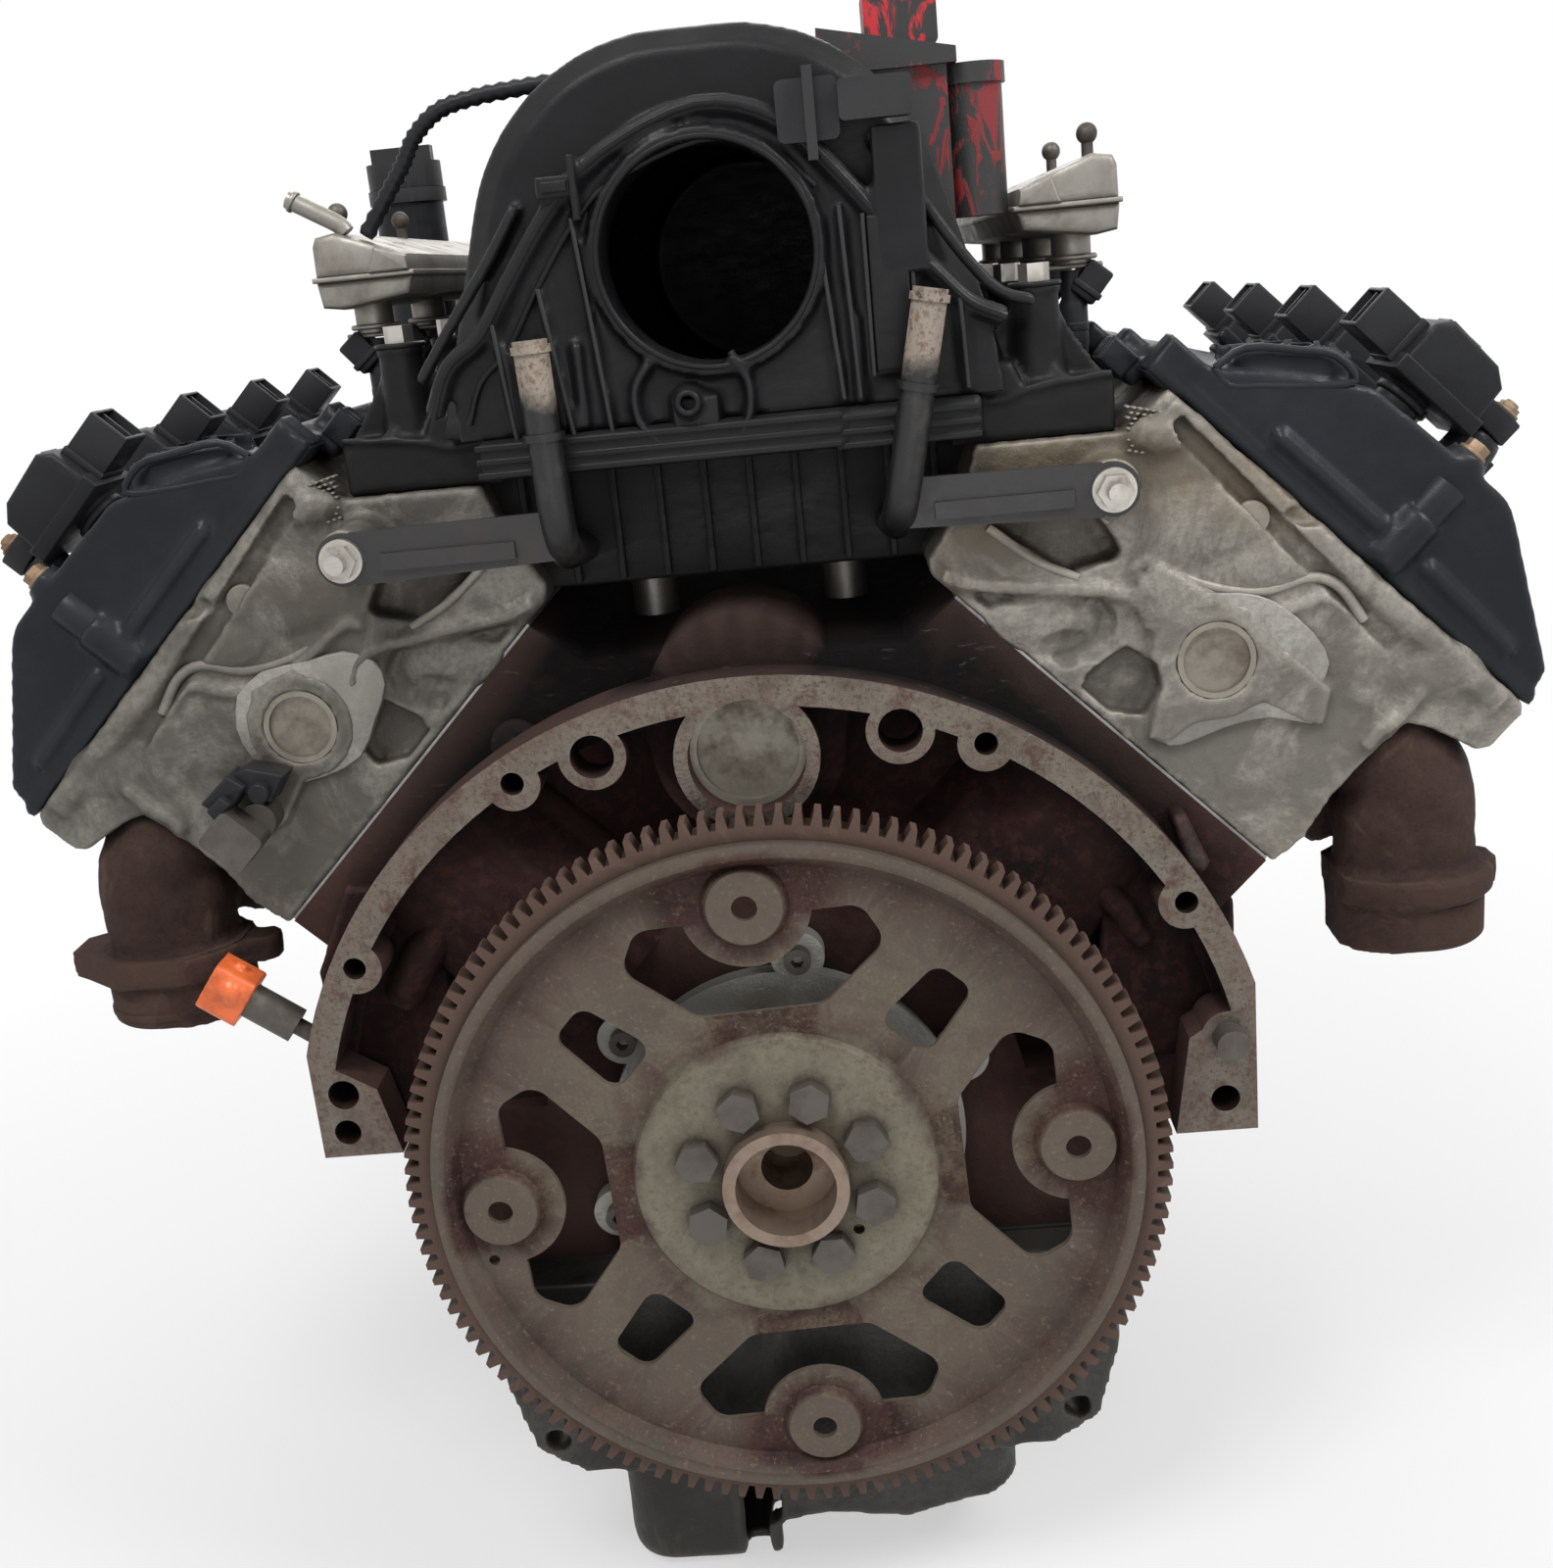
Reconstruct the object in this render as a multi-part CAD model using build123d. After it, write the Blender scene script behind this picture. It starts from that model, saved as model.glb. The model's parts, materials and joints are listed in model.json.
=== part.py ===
from build123d import *
from math import asin, cos, pi, radians, sin, sqrt
import os

# A V8 car engine with two banks at 90 degrees, seen as it stands on its sump with the flexplate
# showing. Millimetres. X points right when seen from the back, Y towards the front of the engine
# and Z up. The origin lies on the crankshaft axis, in the face that the gearbox bolts to.

# Cylinders and banks
BORE = 99.5
STROKE = 90.9
BORE_SPACING = 113.3
DECK_HEIGHT = 234.7
CYLINDERS = 4
BANK_LEAD = 24.5
FIRST_BORE_Y = 87.0
PIN_DROP = 33.0
ROD_LENGTH = DECK_HEIGHT - STROKE / 2 - PIN_DROP - 0.25
RUNNING_GAP = 0.05
SOFT_GAP = 0.3

# How far the heads, and all they carry, stand out and up from where they were measured
MEASURED_DECK = 234.7
RISE = (DECK_HEIGHT - MEASURED_DECK) / sqrt(2)

# Block
BLOCK_REAR = 20.0
BLOCK_FRONT = 512.0
BANK_FRONT = 488.0
PAN_RAIL = -60.0
RAIL_HALF_WIDTH = 150.0
DECK_INNER = -104.0
DECK_OUTER = 76.0
VALLEY_FLOOR = 222.0
VALLEY_WALL = 300.0 + RISE
CRANKCASE_RADIUS = 92.0
CRANKCASE_HALF_WIDTH = 114.0
MAIN_WEB = 24.0
CAP_HALF_WIDTH = 72.0
CAP_LEDGE = -42.0
CAP_BOLT_X = 56.0
PISTON_PIN = 12.0

# Face for the gearbox bell housing
BELL_RADIUS = 219.0
BELL_RIM = 13.5
BELL_HALF_WIDTH = BELL_RADIUS - 9.5
LEFT_FOOT = 13.0
RIGHT_FOOT = -6.0
FOOT_WIDTH = 36.0
BELL_DEPTH = 22.0
BELL_WALL = 10.0
BELL_BOLT_RADIUS = 5.0
BELL_BOLTS = [(100.2, 181.2), (181.0, 103.5)]
BELL_EYES = (65.0, 190.0)
BELL_EYE_RADIUS = 9.4
DOWEL = (197.5, 39.4)
DOWEL_RADIUS = 7.0
DOWEL_SHANK = 6.5
DOWEL_LENGTH = 10.0
BELL_POCKET = 20.0

# Crankshaft
MAIN_JOURNAL = 32.5
ROD_JOURNAL = 27.0
MAIN_LENGTH = 28.0
PIN_LENGTH = 49.0
COUNTERWEIGHT = 80.0
THROW_ANGLES = [90, 0, 180, 270]
BEARING_WALL = 2.5
CRANK_FLANGE = 51.0
CRANK_FLANGE_FRONT = 24.0
CRANK_HUB = 27.5
CRANK_HUB_REAR = -36.0
CONVERTER_BORE = 22.0
PILOT_BORE = 11.5
PILOT_DEPTH = 15.0
SNOUT = 20.0
SEAL_WIDTH = 8.5
RETAINER = 9.0

# Flexplate and ring gear
FLEX_FACE = -22.0
FLEX_SHEET = 3.0
FLEX_TURN = 2.6
HUB_PLATE = 66.0
FLEX_BOLT_CIRCLE = 80.0
FLEX_BOLTS = 8
FLEX_BOLT_START = 25.8
PAD_CIRCLE = 254.0
PAD_HOLE = 5.5
PAD_HEIGHT = 5.0
PAD_RADIUS = 19.0
FLEX_SHANK = 5.0
FLEX_HEAD = 16.5
BALANCE_HOLE = (29.5, -27.5)
TIMING_HOLE = (-134.0, -32.0)
RING_TEETH = 130
RING_MODULE = 2.54
RING_BORE = 155.0
RING_WIDTH = 11.0
LIP_DEPTH = 7.5

# Camshaft and its drive
CAM_HEIGHT = 184.0
CAM_JOURNAL = 27.0
CAM_BEARING_WALL = 3.0
LOBE_RADIUS = 19.0
LOBE_LIFT = 6.0
CHAIN_PITCH = 9.525
CRANK_TEETH = 20
CAM_TEETH = 40
SPROCKET_WIDTH = 12.0
PLUG_BORE = 25.0
PLUG_REAR = 12.0
PLUG_FRONT = 28.0
CHAIN_BACK = 6.0
CHAIN_HEIGHT = 7.0

# Front end
COVER_DEPTH = 50.0
COVER_WALL = 5.0
DAMPER_RADIUS = 92.0
DAMPER_WIDTH = 46.0
PUMP_HEIGHT = 172.0
PUMP_PULLEY = 66.0
PUMP_SHAFT = 8.0
PUMP_BEARING = 17.0
HUB_RADIUS = 30.0
SEAL_OUTER = 40.0
DAMPER_FRONT = BLOCK_FRONT + COVER_DEPTH + 4 + DAMPER_WIDTH
OUTLET_PIPE = 16.0
OUTLET_POST = (-52.0, BLOCK_FRONT + COVER_DEPTH + 16)

# Cylinder heads, gaskets and covers, in bank measures: t away from the crankshaft and s outboard
GASKET = 1.2
HEAD_REAR = 20.5
HEAD_FRONT = 486.0
COVER_SEAT = DECK_HEIGHT + 120.3
COVER_SHEET = 4.0
COVER_INSET = 2.0
CORE_PLUG = 16.5
CORE_PLUG_AT = (200.0 + RISE, 204.0 + RISE)
PORT_T = DECK_HEIGHT + 33.3
PORT_RADIUS = 19.0
PORT_BOSS = 6.0
EXHAUST_GASKET = 1.5
HEAD_FACE_S = 78.0
COVER_PROFILE = [(COVER_SEAT, -104), (COVER_SEAT + 15, -104), (COVER_SEAT + 16, -88),
                 (COVER_SEAT + 53, -30), (COVER_SEAT + 56, 46),
                 (COVER_SEAT + 16, 109), (COVER_SEAT, 112)]
COVER_BENDS = [1, 4, 10, 14, 26, 8, 1]
COIL_Y = -14.0
PILLAR = 9.0
PILLAR_S = 34.0
PILLAR_TOP = COVER_SEAT + 76

# Intake
THROTTLE_X = 4.0
THROTTLE_Z = 387.0 + RISE
THROTTLE_RADIUS = 42.0
DOME_RADIUS = 86.0
RUNNER_WIDTH = 42.0
INTAKE_REAR = 14.0
INTAKE_SEAT = 302.0 + RISE
BASE_TOP = INTAKE_SEAT + 21
FOOT_TOP = INTAKE_SEAT + 30
TOWER_TOP = INTAKE_SEAT + 61
TOWER_X = 134.0 + RISE
TOWER_RADIUS = 9.0
RUNNER_START = 26.0

# Fuel system
RAIL_INNER = 132.0 + RISE
RAIL_OUTER = RAIL_INNER + 39
RAIL_BOTTOM = 380.0 + RISE
RAIL_TOP = RAIL_BOTTOM + 31
RAIL_REAR = 70.0
RAIL_LENGTH = (CYLINDERS - 1) * BORE_SPACING + 32
INJECTOR_X = RAIL_INNER + 23
INJECTOR_RADIUS = 6.5

# Coolant pipes and their straps
PIPE_RADIUS = 7.0
PIPE_WALL = 1.4
STRAP_BOLT = (158.0 + RISE, 281.0 + RISE)
STRAP_SHEET = 3.0
STRAP_STANDOFF = 12.0

# Exhaust
LOG_RADIUS = 24.0
LOG_T = DECK_HEIGHT + 50.3
LOG_S = 113.0
OUTLET_Y = 42.0
OUTLET_RADIUS = 30.0
OUTLET_BORE = 24.0
OUTLET_BOTTOM = 66.0 + RISE

# Sump
PAN_FLANGE = 8.0
PAN_WALL = 5.0
PAN_STEP = -130.0
PAN_TUB = 122.0
PAN_TUB_FRONT = BLOCK_FRONT + COVER_DEPTH - 8
SUMP_BOTTOM = -236.0
SUMP_LEFT = -100.0
SUMP_RIGHT = 95.0
SUMP_FRONT = 330.0
PICKUP_Y = 240.0
PICKUP_RADIUS = 8.0
PAN_BELL_BOLT = (123.5, -145.0)

# Oil filler
NECK_X = 197.0 + RISE
NECK_Y = 375.0
NECK_TOP = 446.0 + RISE
NECK_RADIUS = 20.5
NECK_BORE = 17.0

ROOT2 = sqrt(2)
SIDES = {"right": 1, "left": -1}
parts = {}


def add(name, *shapes):
    """Keeps a piece, or a group of like pieces, under its own name."""
    solids = [solid for shape in shapes for solid in shape.solids()]
    parts[name] = solids[0] if len(solids) == 1 else Compound(solids)


def polygon(points):
    return make_face(Polyline(*points, close=True))


def rounded(points, radius):
    return make_face(FilletPolyline(*points, radius=radius, close=True))


def xz(y):
    """The plane across the engine at y, with X and Z as its own axes."""
    return Plane(origin=(0, y, 0), x_dir=(1, 0, 0), z_dir=(0, -1, 0))


def slab(face, y0, y1):
    return extrude(xz(y0) * face, y0 - y1)


def rod(x, z, radius, y0, y1):
    return slab(Pos(x, z) * Circle(radius), y0, y1)


def tube(x, z, outer, inner, y0, y1):
    return slab(Pos(x, z) * (Circle(outer) - Circle(inner)), y0, y1)


def post(x, y, radius, z0, z1):
    return extrude(Plane.XY.offset(z0) * Pos(x, y) * Circle(radius), z1 - z0)


def block_of(x0, x1, y0, y1, z0, z1):
    return Pos((x0 + x1) / 2, (y0 + y1) / 2, (z0 + z1) / 2) * Box(x1 - x0, y1 - y0, z1 - z0)


def hexagon(across_flats):
    return RegularPolygon(across_flats / 2, 6, major_radius=False)


def lifted(points):
    """X and Z points measured on the right head, moved with the deck."""
    return [(x + RISE, z + RISE) for x, z in points]


def raised(points):
    """X and Z points on the intake's middle, which only moves up."""
    return [(x, z + RISE) for x, z in points]


def bank_point(t, s, y):
    return ((t + s) / ROOT2, y, (t - s) / ROOT2)


def bank_slab(face, y0, y1):
    """Extrudes a face drawn in t and s on the right bank."""
    plane = Plane(origin=(0, y0, 0), x_dir=(1, 0, 1), z_dir=(0, 1, 0))
    return extrude(plane * face, y1 - y0)


def along_t(face, s, y, t0, t1):
    """Extrudes a face away from the crankshaft; its first axis runs along Y."""
    plane = Plane(origin=bank_point(t0, s, y), x_dir=(0, 1, 0), z_dir=(1, 0, 1))
    return extrude(plane * face, t1 - t0)


def along_s(face, t, y, s0, s1):
    """Extrudes a face outboard; its first axis runs along Y."""
    plane = Plane(origin=bank_point(t, s0, y), x_dir=(0, 1, 0), z_dir=(1, 0, -1))
    return extrude(plane * face, s1 - s0)


def to_bank(shape, side):
    """The right bank's shape, or its mirror image moved forward for the left bank."""
    if side > 0:
        return shape
    return Pos(0, BANK_LEAD, 0) * mirror(shape, about=Plane.YZ)


def bore_y(k):
    return FIRST_BORE_Y + k * BORE_SPACING


def pin_y(k):
    return bore_y(k) + BANK_LEAD / 2


def main_y(k):
    return pin_y(0) + (k - 0.5) * BORE_SPACING


def polar(radius, angle):
    return (radius * cos(radians(angle)), radius * sin(radians(angle)))


def throw(k):
    return polar(STROKE / 2, THROW_ANGLES[k])


def gear_face(teeth, root, tip, bore, root_share=0.66, tip_share=0.34):
    """A toothed ring with straight flanks, four points to a tooth."""
    step = 360 / teeth
    points = []
    for tooth in range(teeth):
        middle = tooth * step
        for radius, share in ((root, -root_share), (tip, -tip_share), (tip, tip_share), (root, root_share)):
            points.append(polar(radius, middle + share * step / 2))
    return polygon(points) - Circle(bore)


# Cylinder block and what is fixed inside it


def bank_section():
    """Right half of the block, from the pan rail up the bank to the valley."""
    deck_out = bank_point(DECK_HEIGHT, DECK_OUTER, 0)
    deck_in = bank_point(DECK_HEIGHT, DECK_INNER, 0)
    wall_foot = bank_point(DECK_HEIGHT - 85, DECK_OUTER, 0)
    return polygon([
        (0, PAN_RAIL), (RAIL_HALF_WIDTH, PAN_RAIL), (RAIL_HALF_WIDTH, PAN_RAIL + 14),
        (RAIL_HALF_WIDTH - 14, PAN_RAIL + 22), (RAIL_HALF_WIDTH - 18, 5),
        (wall_foot[0], wall_foot[2]), (deck_out[0], deck_out[2]), (deck_in[0], deck_in[2]),
        (deck_in[0] - 22, VALLEY_FLOOR), (0, VALLEY_FLOOR),
    ])


def bell_outline():
    """Outer edge of the gearbox face, an arc cut off at both sides above the feet."""
    arch = Circle(BELL_RADIUS) & (Pos(0, 150) * Rectangle(2 * BELL_HALF_WIDTH, 2 * (150 - LEFT_FOOT)))
    foot = Pos(BELL_HALF_WIDTH / 2, 0) * Rectangle(BELL_HALF_WIDTH, 2 * abs(RIGHT_FOOT))
    below = polygon([
        (-BELL_HALF_WIDTH + FOOT_WIDTH, LEFT_FOOT), (-RAIL_HALF_WIDTH, -30), (-RAIL_HALF_WIDTH, PAN_RAIL),
        (RAIL_HALF_WIDTH, PAN_RAIL), (RAIL_HALF_WIDTH, -30), (BELL_HALF_WIDTH - FOOT_WIDTH, RIGHT_FOOT),
        (BELL_HALF_WIDTH - FOOT_WIDTH, LEFT_FOOT),
    ])
    foot &= Circle(BELL_RADIUS)
    foot += Pos(BELL_HALF_WIDTH / 2, LEFT_FOOT / 2) * Rectangle(BELL_HALF_WIDTH, LEFT_FOOT)
    return arch + foot + below


def foot_pad(side, low, high):
    """Solid foot of the gearbox face, from its straight edge in to a slanting one."""
    edge = side * BELL_HALF_WIDTH
    return polygon([(edge, low), (edge - side * FOOT_WIDTH, low), (edge - side * 29, high - 12),
                    (edge - side * 10, high), (edge, high)])


def front_outline():
    """Seat of the timing cover, round the camshaft above and down to the pan rail."""
    upper = Pos(0, CAM_HEIGHT) * Circle(cover_radius())
    half = cover_radius()
    lower = polygon([(-half, CAM_HEIGHT), (-half - 14, PAN_RAIL), (half + 14, PAN_RAIL), (half, CAM_HEIGHT)])
    return upper + lower


def sprocket_radius(teeth):
    return CHAIN_PITCH / (2 * sin(pi / teeth))


def cover_radius():
    return sprocket_radius(CAM_TEETH) + 18


def engine_block():
    half = slab(bank_section(), BLOCK_REAR, BANK_FRONT)
    body = half + mirror(slab(bank_section(), BLOCK_REAR + BANK_LEAD, BLOCK_FRONT), about=Plane.YZ)
    body += slab(front_outline(), BANK_FRONT - 12, BLOCK_FRONT)
    body -= slab(Circle(BELL_RADIUS - 1), BLOCK_REAR, BELL_DEPTH)
    body += slab(bell_outline(), BELL_DEPTH, BELL_DEPTH + BELL_WALL)
    for side in (1, -1):
        barrel = along_t(Circle(BORE / 2 + 8), 0, BELL_DEPTH + 46, 104, 206)
        body += mirror_x(barrel, side)
    pocket = (Circle(BELL_RADIUS - BELL_RIM - 4) - Circle(112)) & (Pos(0, 150) * Rectangle(500, 260))
    pocket -= Pos(0, CAM_HEIGHT) * Circle(42)
    hollow = slab(pocket, BELL_DEPTH, BELL_DEPTH + BELL_POCKET)
    for side in SIDES.values():
        hollow -= to_bank(along_t(Circle(BORE / 2 + 9), 0, bore_y(0), 74, DECK_HEIGHT), side)
        hollow -= mirror_x(along_t(Circle(BORE / 2 + 8), 0, BELL_DEPTH + 46, 104, 206), side)
        web = bank_slab(Pos(160, 0) * Rectangle(120, 9), BELL_DEPTH, BELL_DEPTH + BELL_POCKET)
        hollow -= mirror_x(web, side)
    body -= hollow
    body += rod(0, CAM_HEIGHT + 14, 44, BLOCK_REAR, BLOCK_REAR + 70)
    body += slab(Pos(0, (VALLEY_FLOOR + VALLEY_WALL) / 2 - 10) * Rectangle(156, VALLEY_WALL - VALLEY_FLOOR + 20),
                 BLOCK_FRONT - 12, BLOCK_FRONT)
    rim = bell_outline() - Circle(BELL_RADIUS - BELL_RIM) - Rectangle(2 * (BELL_HALF_WIDTH - FOOT_WIDTH), 140)
    lobes = [(x * side, z, 12) for x, z in BELL_BOLTS for side in (1, -1)]
    lobes += [(BELL_EYES[0] * side, BELL_EYES[1], 14.5) for side in (1, -1)]
    lobes += [(DOWEL[0], DOWEL[1], 12)]
    for x, z, radius in lobes:
        rim += (Pos(x, z) * Circle(radius)) & bell_outline()
    rim += Pos(0, CAM_HEIGHT) * (Circle(PLUG_BORE + 6) - Circle(PLUG_BORE))
    rim += foot_pad(-1, LEFT_FOOT, LEFT_FOOT + 44) + foot_pad(1, RIGHT_FOOT, RIGHT_FOOT + 58)
    body += slab(rim, 0, BELL_DEPTH)
    for x, z in BELL_BOLTS:
        body -= rod(x, z, BELL_BOLT_RADIUS, 0, 26) + rod(-x, z, BELL_BOLT_RADIUS, 0, 26)
    for side in (1, -1):
        body -= rod(BELL_EYES[0] * side, BELL_EYES[1], BELL_EYE_RADIUS, 0, BELL_DEPTH)
    body -= rod(-196, 43.5, 7, 0, 30) + rod(-197, 25, 6, 0, 30) + rod(195.6, 9.7, 6.3, 0, 30)
    body -= rod(DOWEL[0], DOWEL[1], DOWEL_SHANK, 0, 20)
    # crankcase bays between the bearing webs
    bay = Circle(CRANKCASE_RADIUS)
    bay += Pos(0, (PAN_RAIL + 5) / 2) * Rectangle(2 * CRANKCASE_HALF_WIDTH, 5 - PAN_RAIL)
    for k in range(CYLINDERS):
        body -= slab(bay, main_y(k) + MAIN_WEB / 2, main_y(k + 1) - MAIN_WEB / 2)
    for side in SIDES.values():
        for k in range(CYLINDERS):
            body -= to_bank(along_t(Circle(BORE / 2), 0, bore_y(k), 74, DECK_HEIGHT + 40), side)
    body -= rod(0, 0, MAIN_JOURNAL + BEARING_WALL + RUNNING_GAP, 0, BLOCK_FRONT)
    body -= rod(0, 0, CRANK_FLANGE + 6, 0, main_y(0) - MAIN_WEB / 2)
    body -= rod(0, CAM_HEIGHT, CAM_JOURNAL + CAM_BEARING_WALL + RUNNING_GAP, PLUG_FRONT, BLOCK_FRONT)
    body -= rod(0, CAM_HEIGHT, PLUG_BORE, 0, PLUG_FRONT)
    # room for the bearing caps, which hang below the crankshaft axis
    for k in range(CYLINDERS + 1):
        y0, y1 = main_y(k) - MAIN_WEB / 2, main_y(k) + MAIN_WEB / 2
        body -= block_of(-CAP_HALF_WIDTH, CAP_HALF_WIDTH, y0, y1, PAN_RAIL, 0)
    body -= block_of(-CAP_HALF_WIDTH, CAP_HALF_WIDTH, 0, main_y(0), PAN_RAIL, 0)
    body -= block_of(-CAP_HALF_WIDTH, CAP_HALF_WIDTH, main_y(CYLINDERS), BLOCK_FRONT, PAN_RAIL, 0)
    return body


def main_bearing_caps():
    caps = []
    outline = polygon([(-CAP_HALF_WIDTH, 0), (-CAP_HALF_WIDTH, CAP_LEDGE), (-42, CAP_LEDGE), (-34, PAN_RAIL + 4),
                       (34, PAN_RAIL + 4), (42, CAP_LEDGE), (CAP_HALF_WIDTH, CAP_LEDGE), (CAP_HALF_WIDTH, 0)])
    outline -= Circle(MAIN_JOURNAL + BEARING_WALL + RUNNING_GAP)
    for k in range(CYLINDERS + 1):
        caps.append(slab(outline, main_y(k) - MAIN_WEB / 2, main_y(k) + MAIN_WEB / 2))
    return caps


def main_bearings():
    """Two half shells in each web."""
    shells = []
    inner = MAIN_JOURNAL + RUNNING_GAP
    ring = Circle(inner + BEARING_WALL) - Circle(inner)
    for side in (1, -1):
        half = ring & (Pos(0, side * 50) * Rectangle(200, 100))
        for k in range(CYLINDERS + 1):
            shells.append(slab(half, main_y(k) - MAIN_WEB / 2, main_y(k) + MAIN_WEB / 2))
    return shells


def cap_bolts():
    """Bolt heads under each cap, two to a cap."""
    return [
        extrude(Plane.XY.offset(CAP_LEDGE - 9) * Pos(x, main_y(k)) * hexagon(17), 9)
        for k in range(CYLINDERS + 1) for x in (-CAP_BOLT_X, CAP_BOLT_X)
    ]


def pistons():
    """Each piston where its crank pin leaves it at rest."""
    crown, skirt = 12.0, 56.0
    heights = []
    for side in SIDES.values():
        for k in range(CYLINDERS):
            x, z = throw(k)
            lift = (side * x + z) / ROOT2
            across = (side * x - z) / ROOT2
            heights.append((side, k, lift + sqrt(ROD_LENGTH ** 2 - across ** 2)))
    bodies, pins = [], []
    for side, k, t in heights:
        y = bore_y(k)
        body = along_t(Circle(BORE / 2 - RUNNING_GAP), 0, y, t + PIN_DROP - skirt, t + PIN_DROP)
        body -= along_t(Rectangle(26, 2 * BORE), 0, y, t + PIN_DROP - skirt, t + PIN_DROP - crown)
        body -= wrist_pin(t, y)
        bodies.append(to_bank(body, side))
        pins.append(to_bank(wrist_pin(t, y), side))
    return bodies, pins


def wrist_pin(t, y):
    """A pin along Y through both bosses of a piston."""
    return bank_slab(Pos(t, 0) * Circle(PISTON_PIN), y - 34, y + 34)


def crankshaft():
    shaft = rod(0, 0, MAIN_JOURNAL, CRANK_FLANGE_FRONT, main_y(0) + MAIN_LENGTH / 2)
    for k in range(CYLINDERS):
        pin = throw(k)
        angle = THROW_ANGLES[k]
        back, front = pin_y(k) - PIN_LENGTH / 2, pin_y(k) + PIN_LENGTH / 2
        shaft += rod(pin[0], pin[1], ROD_JOURNAL, back, front)
        sector = Circle(COUNTERWEIGHT) & (Rot(0, 0, angle) * Pos(-COUNTERWEIGHT / 2 - 12, 0)
                                          * Rectangle(COUNTERWEIGHT, 2 * COUNTERWEIGHT))
        cheek = sector + Circle(MAIN_JOURNAL + 8) + Pos(*pin) * Circle(ROD_JOURNAL + 7)
        cheek += Rot(0, 0, angle) * Pos(STROKE / 4, 0) * Rectangle(STROKE / 2, 2 * ROD_JOURNAL + 14)
        shaft += slab(cheek, main_y(k) + MAIN_LENGTH / 2, back)
        shaft += slab(cheek, front, main_y(k + 1) - MAIN_LENGTH / 2)
        last = BLOCK_FRONT if k == CYLINDERS - 1 else main_y(k + 1) + MAIN_LENGTH / 2
        shaft += rod(0, 0, MAIN_JOURNAL, main_y(k + 1) - MAIN_LENGTH / 2, last)
    shaft += rod(0, 0, SNOUT, BLOCK_FRONT, DAMPER_FRONT - 12)
    shaft += rod(0, 0, CRANK_FLANGE, FLEX_FACE + FLEX_SHEET, CRANK_FLANGE_FRONT)
    shaft += rod(0, 0, CRANK_HUB, CRANK_HUB_REAR, FLEX_FACE + FLEX_SHEET)
    shaft -= rod(0, 0, CONVERTER_BORE, CRANK_HUB_REAR, -PILOT_DEPTH)
    shaft -= rod(0, 0, PILOT_BORE, -PILOT_DEPTH, PILOT_DEPTH)
    for k in range(FLEX_BOLTS):
        x, z = flex_bolt(k)
        shaft -= rod(x, z, FLEX_SHANK, FLEX_FACE + FLEX_SHEET, 4)
    return shaft


def flex_bolt(k):
    return polar(FLEX_BOLT_CIRCLE / 2, FLEX_BOLT_START + k * 360 / FLEX_BOLTS)


# Flexplate and ring gear


def flexplate():
    """A pressed disc with a thicker middle, four domed pads, eight windows and a rolled rim."""
    back, front = FLEX_FACE, FLEX_FACE + FLEX_SHEET
    bend_in, bend_out = RING_BORE - 12, RING_BORE - 6
    lip = back - LIP_DEPTH
    profile = Polyline(
        (CRANK_HUB, front), (CRANK_HUB, back - 3), (HUB_PLATE, back - 3), (HUB_PLATE + 2, back),
        (bend_in, back), (bend_out, lip), (RING_BORE, lip), (RING_BORE, FLEX_FACE - 2 + RING_WIDTH),
        (RING_BORE - 2.5, FLEX_FACE - 2 + RING_WIDTH), (RING_BORE - 2.5, lip + 3), (bend_in + 1.5, front),
        close=True)
    disc = revolve(Plane.XZ * make_face(profile), Axis.Z)
    disc = Rot(-90, 0, 0) * disc
    cuts = []
    kidney = rounded([(-27, 78), (27, 78), (57, 103), (48, 121), (-48, 121), (-57, 103)], 9.5)
    kidney -= Pos(0, PAD_CIRCLE / 2) * Circle(28)
    small = rounded([(-13.5, 82), (13.5, 82), (10, 118), (-10, 118)], 7)
    for k in range(4):
        turn = FLEX_TURN + 90 * k
        pad = polar(PAD_CIRCLE / 2, turn + 90)
        dome = Plane(origin=(pad[0], back, pad[1]), z_dir=(0, -1, 0))
        disc += loft([dome * Circle(PAD_RADIUS), dome.offset(PAD_HEIGHT) * Circle(PAD_RADIUS - 3)])
        cuts.append(rod(pad[0], pad[1], PAD_RADIUS - 5, back - PAD_HEIGHT + FLEX_SHEET, front))
        cuts.append(rod(pad[0], pad[1], PAD_HOLE, back - PAD_HEIGHT - 1, front))
        cuts.append(slab(Rot(0, 0, turn) * kidney, back - 4, front))
        cuts.append(slab(Rot(0, 0, turn + 45) * small, back - 4, front))
    for k in range(FLEX_BOLTS):
        x, z = flex_bolt(k)
        cuts.append(rod(x, z, FLEX_SHANK, back - 4, front))
    for x, z in (BALANCE_HOLE, TIMING_HOLE):
        cuts.append(rod(x, z, 2.5, back - 4, front))
    for cut in cuts:
        disc -= cut
    return disc


def ring_gear():
    pitch = RING_TEETH * RING_MODULE / 2
    face = gear_face(RING_TEETH, pitch - 1.55 * RING_MODULE, pitch + RING_MODULE, RING_BORE)
    return slab(face, FLEX_FACE - 2, FLEX_FACE - 2 + RING_WIDTH)


def flexplate_bolts():
    bolts = []
    seat = FLEX_FACE - 3
    for k in range(FLEX_BOLTS):
        x, z = flex_bolt(k)
        head = slab(Pos(x, z) * Rot(0, 0, 20 * k) * hexagon(FLEX_HEAD), seat - 7, seat)
        bolts.append(head + rod(x, z, FLEX_SHANK, seat, 2))
    return bolts


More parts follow.
